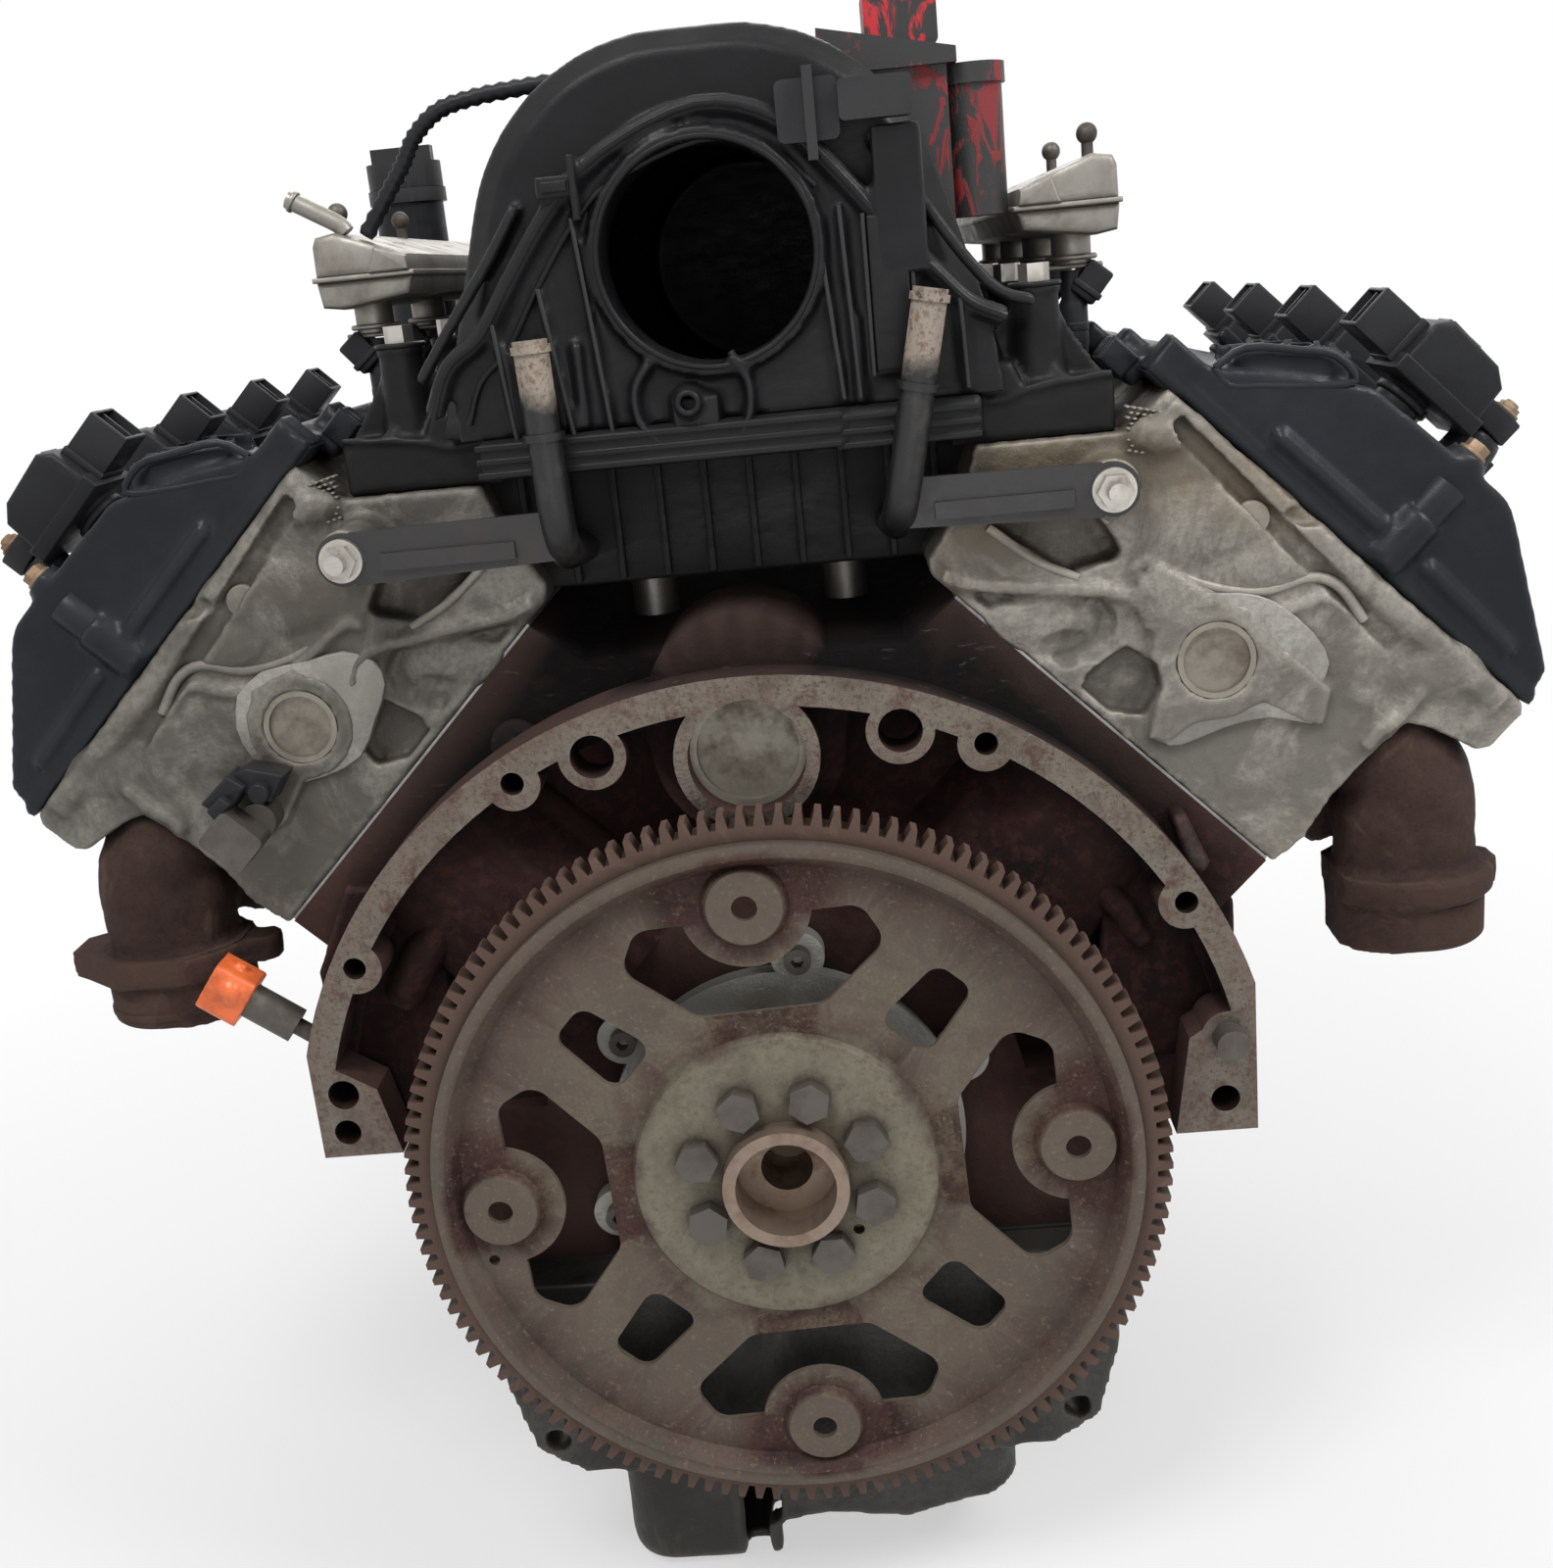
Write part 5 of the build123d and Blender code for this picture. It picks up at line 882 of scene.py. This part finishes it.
def intake():
    """The upper half: the node's arches and plenum with its seam, shoulders and ribs grown on."""
    add, cut = Form(), Form()
    rear = PLENUM_REAR
    add.tube([(x, rear - 1, z) for x, z in curve(SEAM, 3)], 4.2, 10, 1.1)
    outer = curve([(-118, 348), (-100, 372), (-84, 392), (-70, 412)], 3)
    add.tube([(x, rear + 6, z) for x, z in outer], 2.6, 10, 1.6)
    outer = curve([(72, 424), (88, 402), (104, 378), (118, 362), (132, 357)], 3)
    add.tube([(x, rear + 6, z) for x, z in outer], 2.6, 10, 1.6)
    plenum_ribs(add, RIBS, -4, 2)
    for bend in plenum_arcs(348, 317):
        add.tube([(x, rear - 4, z) for x, z in curve(bend, 4)], 1.9, 10, 2.6)
    add.slab(across, box_outline(-16, 3, 320, 333), rear - 6, rear + 2, 1.2)
    add.rod(across, -9, 331, 5.4, 3, rear + 2, 0.8)
    add.rod(across, -9, 331, 6.6, 9, rear + 2, 0.8)
    cut.rod(across, -9, 331, 3.2, 1, 12)
    add.ring(across, *THROTTLE, 45.4, 42.1, 7.2, 12)
    add.slab(across, [(66, 334), (84, 334), (84, 388), (76, 398), (66, 398)], rear - 3, rear + 2, 1)
    add.slab(across, [(-60, 413), (-44, 413), (-44, 421), (-60, 421)], rear - 6, rear + 6, 1)
    add.slab(across, [(-46, 404), (-43.6, 404), (-43.6, 428), (-46, 428)], rear - 10, rear + 8, 0.5)
    add.slab(across, [(-92, 345), (-60, 345), (-60, 352), (-92, 352)], rear - 1, rear + 2, 1)
    x, z = THROTTLE
    arch = [radians(d) for d in range(20, 161, 10)]
    for k in range(2 * CYLINDERS):
        add.tube([(x + 87 * cos(a), runner_y(k), z + 86 * sin(a)) for a in arch], 1.6, 8, 1.2)
    cast("intake_manifold", add, cut, 1.6, 2, ((0.02, 0.0004),))


def intake_feet():
    """The lower half: three ledges at the back, bolt towers with gussets, and a foot on each head."""
    add = Form()
    for z in (309.4, 314.8, 320.4):
        add.slab(across, box_outline(-96, 52, z - 1.7, z + 1.7), 6.0, 12, 1.0)
        add.slab(across, box_outline(50, 106, z - 3.2, z + 0.2), 7.5, 12, 1.0)
    for side in SIDES.values():
        place = mirrored(side)
        for k in range(CYLINDERS + 1):
            y = TOWER_Y + k * TOWER_STEP + lead(side)
            add.tube([(side * TOWER_X, y, z) for z in (318, 340, 358, 362.5)], [12.5, 10.4, 9.6, 9.6], 24)
            add.ring(upright, side * TOWER_X, y, 10.6, 7, 360, 363, 28)
            add.slab(place, [(100, 326), (130, 326), (130, 352), (121, 352)], y - 1.2, y + 1.2)
            add.slab(place, [(138, 326), (160, 326), (143, 352), (138, 352)], y - 1.2, y + 1.2)
        rear = HEAD_REAR + 4 + lead(side)
        add.slab(place, [(98, 303), (162, 303), (162, 322), (98, 322)], rear - 1.5, rear + 3, 1.5)
        add.slab(place, [(108, 322), (127, 322), (122, 334), (109, 334)], rear - 2, rear + 14, 2)
        add.tube([(side * x, rear - 1.5, z) for x, z in curve([(98, 321), (116, 319), (130, 323), (162, 326)],
                                                              3)], 1.5, 8)
    cast("intake_base", add, None, 1.6, 2, ((0.015, 0.0004),))


# Valve covers with their coils

def valve_cover(side):
    """A cover with its rim, bolt posts, filler bulge, ribs and the pillars of its coils."""
    name = NAMES[side]
    add, cut = Form(), Form()
    end, top = bank_end(side), bank_top(side)
    rear = COVER_REAR
    for s0, s1 in ((-48, 12), (36, 92)):
        add.tube([end(369.5 - 0.05 * max(0, s - 40), s, rear - 1) for s in range(s0, s1 + 1, 6)], 3.4, 10)
    for y in (rear + 2, 476):
        add.rod(top, y, 22, 9.6, 358, 384, 1.0)
        add.rod(top, y, 22, 5.5, 383, 386, 0.6)
    add.slab(end, box_outline(354, 371.5, -107, -89), rear - 1, rear + 20, 2)
    add.slab(end, box_outline(347, 358, -122, -100), rear + 26, rear + 40, 1.5)
    for k in range(4):
        y = 62 + k * 106
        add.slab(end, box_outline(352, 366, -116, -98), y, y + 22, 2.5)
    slope = [end(376, -80, 42), end(388, -66, 42), end(400, -50, 42), end(406, -40, 42)]
    high = [end(381, -84, 42), end(392, -69, 42), end(404, -53, 42), end(411, -42, 42)]
    add.tube(slope, [15, 16.5, 16.5, 13], 20)
    cut.tube(high, [11, 13, 13, 9], 20)
    for k in range(CYLINDERS):
        y = coil_y(k)
        add.tube([top(y, PILLAR_S, t) for t in (398, 410, 422, 430.8)], [19, 14.5, 11, 9.2], 24)
        add.tube([end(409, s, y + 36) for s in range(-26, 44, 7)], 2.6, 8)
    add.tube([end(408.5, -20, y) for y in range(40, 470, 10)], 3.0, 10)
    cast(name + "_valve_cover", add, cut, 1.7, 4, ((0.03, 0.0006),))


def coils(side):
    """Four coils, each with its socket outboard, its screw lug and its boot."""
    name = NAMES[side]
    end, top, out = bank_end(side), bank_top(side), bank_side(side)
    form = Form()
    for k in range(CYLINDERS):
        y = coil_y(k)
        form.slab(end, [(424, -21), (447, -21), (453, -15), (451.5, 12), (446, 20), (424, 22)], y - 20.5,
                  y + 20.5, 2.4)
        form.slab(end, [(423, -22), (431, -22), (431, 23.5), (423, 23.5)], y - 21, y + 21, 1.0)
        form.slab(end, [(447, -14), (454.6, -14), (454.6, 4), (447, 8)], y - 9, y + 9, 1.4)
        mouth = box_outline(y - 12, y + 12, 426.2, 445.8)
        form.shell([[out(u, v, w) for u, v in ring] for ring, w in (
            (mouth, -20), (mouth, -44.6), (shrunk(mouth, 0.6), -45), (shrunk(mouth, 1.7), -45),
            (shrunk(mouth, 1.9), -26))])
        form.slab(out, box_outline(y - 4, y + 4, 445, 447.6), -43, -22, 0.6)
        form.slab(out, box_outline(y - 0.7, y + 0.7, 427, 445), -44, -26)
        form.slab(out, box_outline(y - 12.6, y + 12.6, 425.4, 446.6), -25, -20.5, 0.6)
        for u in (-6, 5):
            form.slab(out, box_outline(y + u, y + u + 1.2, 434, 438), -36, -25)
        form.slab(top, [(y - 8.6, 20), (y - 8.6, 34), (y - 5, 42), (y + 5, 42), (y + 8.6, 34), (y + 8.6, 20)],
                  431.2, 442.8, 1.0)
        form.rod(top, y, PILLAR_S, 6.4, 430.9, 443, 0.6)
        form.rod(top, y, -4, 11, 411.6, 424, 1.2)
        form.rod(top, y, -4, 13, 417, 421, 1.0)
    piece = machined(name + "_coil_bodies", name + "_ignition_coils", form, 0.5)
    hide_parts(name + "_ignition_coils")


def cover_hardware():
    """Coil screws, cover bolts and the rusty bolt in each cover's recess."""
    form = Form()
    for side in SIDES.values():
        top = bank_top(side)
        for k in range(CYLINDERS):
            y = coil_y(k)
            form.slab(top, hexagon(y, PILLAR_S, 8.6), 444, 447, 0.4)
            form.rod(top, y, PILLAR_S, 6.2, 443, 444.6, 0.4)
            form.rod(top, y, PILLAR_S, 3.2, 442, 448.4, 0.4)
        for y in (32.5, 474):
            form.slab(top, hexagon(y, 22, 9.4), 415, 420.6, 0.6)
            form.rod(top, y, 22, 6.4, 414.8, 416.6, 0.4)
        form.slab(top, hexagon(42, -72, 9.4, 0.4), 376, 383, 0.7)
        form.rod(top, 42, -72, 6.6, 374, 377.4, 0.5)
    piece = machined("cover_fasteners", "cover_and_coil_bolts", form, 0.3)
    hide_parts("cover_and_coil_bolts")


# Cylinder heads

def head(side):
    """A head with the relief cast on its rear face, its port bosses and a patch of knurling."""
    name = NAMES[side]
    add, cut = Form(), Form()
    end = bank_end(side)
    place = mirrored(side)
    rear = HEAD_REAR + lead(side)

    def bar(points, depth):
        return [(side * x, rear + depth, z) for x, z in curve(points, 4)]

    add.tube([end(349, s, 19.5) for s in range(-90, 106, 8)], 5.4, 12, 0.5)
    cut.tube([end(341 - 0.06 * s, s, 18.4) for s in range(-84, 60, 8)], 4.6, 12, 0.9)
    for x, depth, z, size in ((200, 4, 262, (38, 8.5, 20)), (226, 4, 244, (26, 7.5, 15)),
                              (128, 5, 226, (26, 7, 14)), (292, 6, 190, (24, 9, 16)),
                              (180, 2, 300, (15, 9, 9)), (262, 4, 196, (16, 7, 26))):
        add.ball((side * x, rear + depth, z), 1, size)
    add.tube(bar([(166, 246), (173, 248), (187, 238.4), (204.7, 227), (216, 222.5), (232, 222.7),
                  (247, 226.4), (262, 215)], -0.5), 2.5, 10)
    add.tube(bar([(88, 250), (103, 244.4), (135, 240), (160, 236), (170, 230), (173.6, 219.7)], -1.0), 3.4,
             10, 0.8)
    add.tube(bar([(285, 183), (276, 172), (268, 167), (262, 160)], 0), 4, 10)
    add.tube(bar([(98, 277), (125, 276), (150, 273), (160, 268)], -1), 3.0, 10)
    add.rod(place, 158, 281, 13.5, rear - 3, rear + 2, 1.5)
    cut.slab(place, [(106, 271), (142.5, 243.5), (152, 262), (156, 268)], rear - 4, rear + 13)
    cut.slab(place, [(143, 197), (163, 213), (175, 205), (177, 194), (170, 182), (155, 185)], rear - 6,
             rear + 9)
    cut.ball((side * 143, rear - 2, 214), 1, (20, 5, 9))
    cut.ball((side * 246, rear - 3, 262), 1, (18, 5, 6))
    if side > 0:
        cut.rod(place, 216.5, 221, 4.6, rear - 6, rear - 2.6)
    for k in range(CYLINDERS):
        y = bore_y(k)
        add.rod(bank_top(side), y + 30, 92, 11, 250, 300, 3)
        add.ball(end(318, 94, y), 1, (20, 26, 14))
    cast(name + "_cylinder_head", add, cut, 1.6, 1, ((0.02, 0.0012), (0.005, 0.0006)))
    knurl = Form()
    for row in range(9):
        for column in range(7):
            x = 167 + column * 2.6 + (row % 2) * 1.3
            z = 312 - row * 2.2 - 0.25 * (x - 167)
            if z - 0.55 * (x - 167) > 290:
                knurl.slab(place, [(x - 1.05, z), (x, z + 0.55), (x + 1.05, z), (x, z - 0.55)], rear - 2.2,
                           rear + 3)
    machined(name + "_head_knurl", name + "_cylinder_head", knurl, 0)


# Crisp details set on the softened pieces

def intake_details():
    """Crisp ribs, ledges and lips on the upper half, and the skirt under the lower half."""
    form = Form()
    rear = PLENUM_REAR
    for z in (309.4, 314.8, 320.4):
        form.slab(across, box_outline(-97, 51, z - 1.2, z + 1.2), 5.4, 9, 0.5)
        form.slab(across, box_outline(49, 107, z - 2.7, z - 0.3), 6.9, 10, 0.5)
    plenum_ribs(form, RIBS + PANEL_EDGES, -5.2, 0, 0.3)
    for bend in plenum_arcs(349, 316):
        form.tube([(x, rear - 4.5, z) for x, z in curve(bend, 4)], 1.6, 10, 2.0)
    form.slab(across, box_outline(-15.5, 2.5, 320.5, 332.5), rear - 6.5, rear, 1.0)
    form.ring(across, -9, 331, 5.2, 2.8, 1.6, 9, 28)
    form.ring(across, *THROTTLE, 44.6, 42.1, 7.0, 10, 96)
    form.slab(across, [(67.5, 336), (82.5, 336), (82.5, 387), (76, 395), (67.5, 395)], 8.1, rear, 0.8)
    form.slab(across, box_outline(-59, -45, 413, 421), rear - 8, rear + 6, 0.8)
    form.slab(across, box_outline(-57, -47, 415, 419), rear - 9.4, rear - 7, 0.4)
    form.slab(across, [(-45.6, 404), (-43.4, 404), (-43.4, 428), (-45.6, 428)], rear - 10, rear + 6, 0.4)
    form.tube([(x, rear - 3.6, z) for x, z in curve(SEAM, 4)], 2.1, 10, 1.0)
    low = curve([(-99, 330), (-92, 346), (-79, 358), (-66, 378), (-48, 402), (-30, 417), (5, 429), (31, 424),
                 (49, 408)], 4)
    form.tube([(x, rear - 1.4, z) for x, z in low], 1.4, 10, 1.0)
    for side in (-1, 1):
        form.ring(upright, side * TOWER_X, TOWER_Y + lead(side), 11.0, 6.4, 361.6, 363.9, 36)
    machined("intake_details", "intake_manifold", form, 0.3)
    skirt = Form()
    skirt.slab(across, [(-112, 252), (116, 252), (108, 306), (-104, 306)], 64, 70, 1.5)
    for x in range(-90, 91, 20):
        skirt.slab(across, box_outline(x - 1.5, x + 1.5, 254, 305), 58, 66, 0.5)
    machined("intake_skirt", "intake_base", skirt, 0.3)


def cover_details(side):
    """Crisp rims, lugs, posts and pillars on a cover, and the lip of its recess."""
    name = NAMES[side]
    end, top = bank_end(side), bank_top(side)
    form = Form()
    rear = COVER_REAR + 0.1
    for s0, s1 in ((-50, 12), (38, 92)):
        form.tube([end(369.5 - 0.05 * max(0, s - 40), s, rear) for s in range(s0, s1 + 1, 6)], 2.2, 10)
    form.slab(end, box_outline(353.5, 371, -105.5, -90), rear + 0.6, rear + 22, 1.6)
    form.slab(end, box_outline(357, 367, -106.4, -104), rear + 4, rear + 17, 0.5)
    form.slab(end, box_outline(346.4, 358, -121, -107), rear + 24, rear + 39, 1.4)
    for y in (26.5, 474):
        form.tube([top(y, 22, t) for t in (366, 377, 389, 399.5)], [11, 9.6, 9.0, 9.0], 28)
    form.rod(end, 374, 25, 8.6, rear - 0.4, rear + 8, 1.2)
    form.rod(end, 374, 25, 5.6, rear - 2.0, rear + 2, 0.8)
    for k in range(CYLINDERS):
        y = coil_y(k)
        form.tube([top(y, PILLAR_S, t) for t in (398, 410, 422, 430.4)], [15.5, 12.4, 10, 8.9], 28)
        for turn in (0.4, 1.97, 3.54, 5.11):
            a, b = y + 11 * cos(turn), PILLAR_S + 11 * sin(turn)
            form.slab(top, box_outline(a - 1, a + 1, b - 1, b + 1), 396, 424, 0.4)
    lip = [(372.5, -85), (386, -81), (399, -64), (407, -51), (405, -38), (393, -49), (379, -66), (371, -76)]
    loop = curve(lip + [lip[0]], 3)
    form.tube([end(t, s, 23.8) for t, s in loop], 1.7, 8)
    machined(name + "_cover_details", name + "_valve_cover", form, 0.3)


def head_details(side):
    """Smooth pads round the core plug, the cast lines beside the cover and a round boss above the plug."""
    name = NAMES[side]
    place = mirrored(side)
    rear = HEAD_REAR + lead(side)
    form = Form()
    if side > 0:
        star = [(169.6, 240.2), (178.1, 241.4), (194.2, 233.3), (210.5, 231.8), (225, 226.5),
                (240.7, 211.8), (247, 198.3), (242.6, 186.0), (245.6, 177.8), (239.2, 172.7),
                (221.4, 177.0), (202.7, 174.2), (184.5, 168.2), (175.9, 170.3), (174.8, 180.5),
                (181.2, 190.3), (177.4, 204.3), (179.7, 217.7), (171.1, 229.5)]
    else:
        star = [(226.0, 220.6), (213.4, 230.3), (191.1, 233.5), (176, 236), (163, 231), (159, 219.9),
                (166, 204), (175.4, 187.8), (193.4, 180.0), (211.9, 178.9), (224.2, 191.2), (229, 206)]
    form.slab(place, curve(star + [star[0]], 2)[:-1], rear - 2.8, rear + 4, 0.7)
    hole = Form().rod(place, *PLUG, 17.4, rear - 10, rear + 10, sides=56)
    machined(name + "_head_pad", name + "_cylinder_head", form, 0.3, paint=PAD, cut=hole)
    lines = Form()
    runs = [
        ([(166, 247), (173, 249), (187, 240), (204.7, 233), (222, 231), (240, 235), (252, 230), (262, 215)],
         2.3),
        ([(88, 251), (103, 245), (135, 240.5), (160, 237), (170, 231), (174, 220)], 2.6),
        ([(98, 277.5), (125, 277), (150, 273.6), (158, 266)], 2.2),
        ([(144, 243.6), (126, 253), (108, 268)], 2.0),
    ]
    for points, radius in runs:
        run = curve([(side * x, rear + 0.6, z) for x, z in points], 4)
        lines.tube(run, radius, 10, 0.9)
    lines.rod(place, 216, 262, 7.5, rear - 1.6, rear + 2, 1.2)
    machined(name + "_head_lines", name + "_cylinder_head", lines, 0.0)


def flange(x, y, rim):
    """The outline whose lower edge is rim, and whose upper edge mirrors it."""
    return [(x + u, y + v) for u, v in rim] + [(x + u, y - v) for u, v in reversed(rim)]


def exhaust(side):
    """Elbow, runners and log of a manifold, with a clamp collar or a flange at its outlet."""
    name = NAMES[side]
    add, cut = Form(), Form()
    x, y = outlet(side)
    elbow = curve([(side * 262, y + 22, 168), (side * 276, y + 8, 156), (side * 287, y, 138), (x, y, 116),
                   (x, y, 98)], 3)
    add.tube(elbow, 26.5, 28)
    add.ball((side * 280, y + 4, 152), 1, (27, 26, 26))
    add.ring(upright, x, y, 33.5 if side > 0 else 31.5, OUTLET_BORE, 86, 100, 56)
    if side < 0:
        rim = [(-46, -8), (-38, -13), (-16, -31), (16, -31), (38, -13), (46, -8)]
        add.slab(upright, flange(x, y, rim), 88, 100, 2)
        cut.rod(upright, x, y, OUTLET_BORE, 60, 92)
    if side > 0:
        for edge in (1, -1):
            cut.slab(upright, box_outline(x + edge * 35, x + edge * 60, y - 30, y + 30), 60, 112)
    for k in range(CYLINDERS):
        run = [bank_side(side)(bore_y(k), t, s) for t, s in ((268, 84), (272, 98), (283, 110))]
        add.tube(curve(run, 3), 21, 20)
    add.tube([(side * 287, y + 40 + d, 141 + 3 * sin(d / 18)) for d in range(0, 360, 12)], 25.5, 24)
    cast(name + "_exhaust_manifold", add, cut, 2.0, 2, ((0.035, 0.0018), (0.008, 0.0010)))


def sump():
    """The pan with its cooling ribs; the deep part is stepped as in the picture."""
    add, cut = Form(), Form()
    cut.slab(across, [(-42, -184), (-42, -260), (-26, -260), (-22, -196), (-30, -184)], -10, 34)
    cut.slab(across, [(-30, -214), (0, -209), (40, -214), (70, -206), (110, -202), (110, -260), (-30, -260)],
             -10, 60)
    for k in range(9):
        y = 70 + k * 26
        add.slab(across, [(-104, -175), (99, -175), (97, -231), (90, -234), (-93, -234), (-102, -230)], y,
                 y + 4, 1)
    cast("oil_pan", add, cut, 2.2, 2, ((0.03, 0.0014), (0.007, 0.0006)))


def rails():
    """Fuel rails of a pan and a pressed lid, with a cup over each injector."""
    for side in SIDES.values():
        name = NAMES[side]
        place = mirrored(side)
        rear = RAIL_REAR + lead(side)
        front = rear + 3 * SPACING + 32
        form = Form()
        pan = [(134.5, 383.5), (165.3, 379.6), (174.5, 381), (175.8, 391.7), (131.4, 392.2)]
        lid = [(132.3, 393.6), (175.4, 393.6), (175.0, 407.2), (173.3, 411), (164.5, 412.4), (152, 408),
               (133.4, 401)]
        form.slab(place, pan, rear + 1, front - 1, 2.6)
        form.slab(place, lid, rear, front, 3.0)
        form.slab(place, box_outline(130.6, 176.6, 391.8, 394.0), rear - 1.2, front + 1.2, 0.7)
        facet = [(132.6, 394), (151, 394), (147, 405), (133.6, 400)]
        form.slab(place, facet, rear - 2.4, rear + 12, 1.2)
        for k in range(CYLINDERS):
            x, y = side * INJECTOR_X, injector_y(k, side)
            form.rod(upright, x, y, 8.6, 368, 383, 1.0)
            form.ring(upright, x, y, 11.2, 7.5, 370, 372.4, 32)
            form.slab(upright, box_outline(x - 13, x + 13, y - 4, y + 4), 366.5, 368.6, 0.5)
            form.slab(place, [(140, 396), (170, 396), (166, 411), (150, 408)], y + 30, y + 52, 2.0)
        if side < 0:
            run = curve([(-160, 102, 412), (-163, 102, 416), (-172, 102, 421.5), (-184, 102, 428.6)], 5)
            form.tube(run, 4.0, 18)
            lean = lambda u, v, w: (-181.5 - 0.82 * w + 0.57 * u, 102 + v, 427.2 + 0.57 * w + 0.82 * u)
            form.ring(lean, 0, 0, 5.0, 3.2, -1, 1.4, 24)
        piece = machined(name + "_rail_stamping", name + "_fuel_rail", form, 0.6)
        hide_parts(name + "_fuel_rail")


def injectors():
    """Injectors with their leaning connectors."""
    form = Form()
    for side in SIDES.values():
        for k in range(CYLINDERS):
            x, y = side * INJECTOR_X, injector_y(k, side)
            form.tube([(x, y, z) for z in (316, 330, 336, 338, 352, 354, 366)],
                      [5.6, 5.6, 6.2, 6.2, 6.2, 5.2, 5.2], 24)
            form.ring(upright, x, y, 6.4, 5.0, 340, 344, 28)
            lean = lambda u, v, w: (x + side * (0.77 * u + 0.64 * w), y + v, 351 + 0.77 * w - 0.64 * u)
            form.slab(lean, box_outline(-6, 6, -7, 7), 4, 20, 1.2)
            form.slab(lean, box_outline(-7, 7, -8, 8), 7, 10, 0.6)
            form.slab(lean, box_outline(-8.4, -5, -2.5, 2.5), 8, 18, 0.6)
    piece = machined("injector_bodies", "fuel_injectors", form, 0.3)
    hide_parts("fuel_injectors")


def bell_details():
    """Ribs, gussets and rough edges of the gearbox end, inside the bell and above it."""
    form = Form()
    rib = curve([(-119.5, 26, 139), (-140, 24, 118), (-158, 25, 96), (-170, 28, 76)], 4)
    form.tube(rib, 9.5, 16)
    form.tube([(-x * 0.98, y + 1, z) for x, y, z in rib], 6.5, 14)
    for side in SIDES.values():
        form.tube(curve([(side * 150, 36, 70), (side * 166, 34, 40), (side * 178, 34, 18)], 4), 8, 12)
        form.ball((side * 104, 40, 188), 1, (12, 8, 12))
    form.slab(across, [(177, 140), (183, 142), (193, 118), (190, 113), (184, 115)], 6, 24, 1.2)
    for side in SIDES.values():
        form.slab(mirrored(side), [(207, 16), (207, 92), (188, 132), (150, 128), (146, 40), (150, 16)], 27,
                  36, 1.5)
    piece = machined("bell_ribs", "engine_block", form, 0)
    modify(piece, "REMESH", mode="VOXEL", voxel_size=1.8 * COARSE * MM, use_smooth_shade=True)
    modify(piece, "SMOOTH", factor=0.5, iterations=2)
    dent(piece, 0.01, 0.0012)
    apply_all(piece)
    piece.data.shade_smooth()


def sleeve():
    """Ribbed sleeve over the intake's shoulder."""
    y = runner_y(1)
    path = curve([(-152, y, 410), (-140, y, 426), (-131, y, 438), (-124, y, 449), (-112, y, 458.5),
                  (-95, y, 462.5),
                  (-74, y, 464.4), (-52, y, 465.6)], 7)
    form = Form().tube(path, [4.0 if k % 2 else 3.1 for k in range(len(path))], 16)
    piece = machined("ribbed_sleeve", "hose_conduit", form, 0, smooth=False)
    piece.data.shade_smooth()
    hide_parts("hose_conduit")


def sensors():
    """The black connector on the left head and the lobed orange cap behind the gearbox face."""
    place = mirrored(-1)
    form = Form()
    form.slab(place, [(243, 178), (229, 190), (222, 184), (234, 170)], 20, 38, 1.4)
    form.slab(place, [(228, 189), (222, 192), (205, 187), (213, 175), (224, 180)], 24, 40, 1.4)
    form.slab(place, [(239, 176), (232, 182), (228, 178), (236, 171)], 15, 24, 0.8)
    form.rod(place, 216, 181, 4.6, 18, 30, 0.8)
    machined("head_sensor_plug", "sensors", form, 0.4, paint=PAINTS["fuel_injectors"])
    low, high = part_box("sensor_cap")
    middle = [(a + b) / 2 / MM for a, b in zip(low, high)]
    lobes = Form()
    for dx, dy, dz, r in ((-6, 0, -3, 7.5), (3, -7, 2, 6.5), (3, 7, 2, 6.5), (5, 0, -4, 7.0)):
        lobes.ball((middle[0] + dx, middle[1] + dy, middle[2] + dz), r)
    lobes.tube([(middle[0] + 4, middle[1], middle[2] + 5), (middle[0] + 6, middle[1], middle[2] + 9),
                (middle[0] + 8, middle[1], middle[2] + 12)], 3, 14)
    cast("sensor_cap", lobes, None, 1.0, 2, ((0.01, 0.0005),))


def outlets():
    """Machined bands and flange round the exhaust outlets."""
    for side in SIDES.values():
        name = NAMES[side]
        x, y = outlet(side)
        form = Form()
        if side > 0:
            form.ring(upright, x, y, 34.4, 26, 87, 100, 64)
            form.ring(upright, x, y, 31.0, 24.6, 66.3, 88, 64)
        else:
            rim = [(-44, -9), (-36, -15), (-15, -33), (15, -33), (34, -15), (38, -9)]
            hole = Form().rod(upright, x, y, 26, 60, 120)
            form.slab(upright, flange(x, y, rim), 88, 101, 0.8)
            machined(name + "_outlet_flange", name + "_exhaust_manifold", form, 0.4, cut=hole)
            form = Form()
            form.ring(upright, x, y, 30.6, 24.6, 66.3, 89, 64)
            form.ring(upright, x, y, 31.4, 29.0, 70, 74, 64)
        machined(name + "_outlet_band", name + "_exhaust_manifold", form, 0.4)


camera()
studio()
floor()
PAINTS = all_paints()
for node_name, node in frame["nodes"].items():
    node.data.materials.clear()
    node.data.materials.append(PAINTS[node_name])

PAD = cast_aluminium("pad_casting", (0.33, 0.315, 0.285), (0.19, 0.155, 0.105), 0.6, 0.4)
intake()
intake_feet()
intake_details()
cover_hardware()
for bank in SIDES.values():
    valve_cover(bank)
    cover_details(bank)
    coils(bank)
    head(bank)
    head_details(bank)
    exhaust(bank)
sump()
rails()
injectors()
bell_details()
sensors()
outlets()
sleeve()
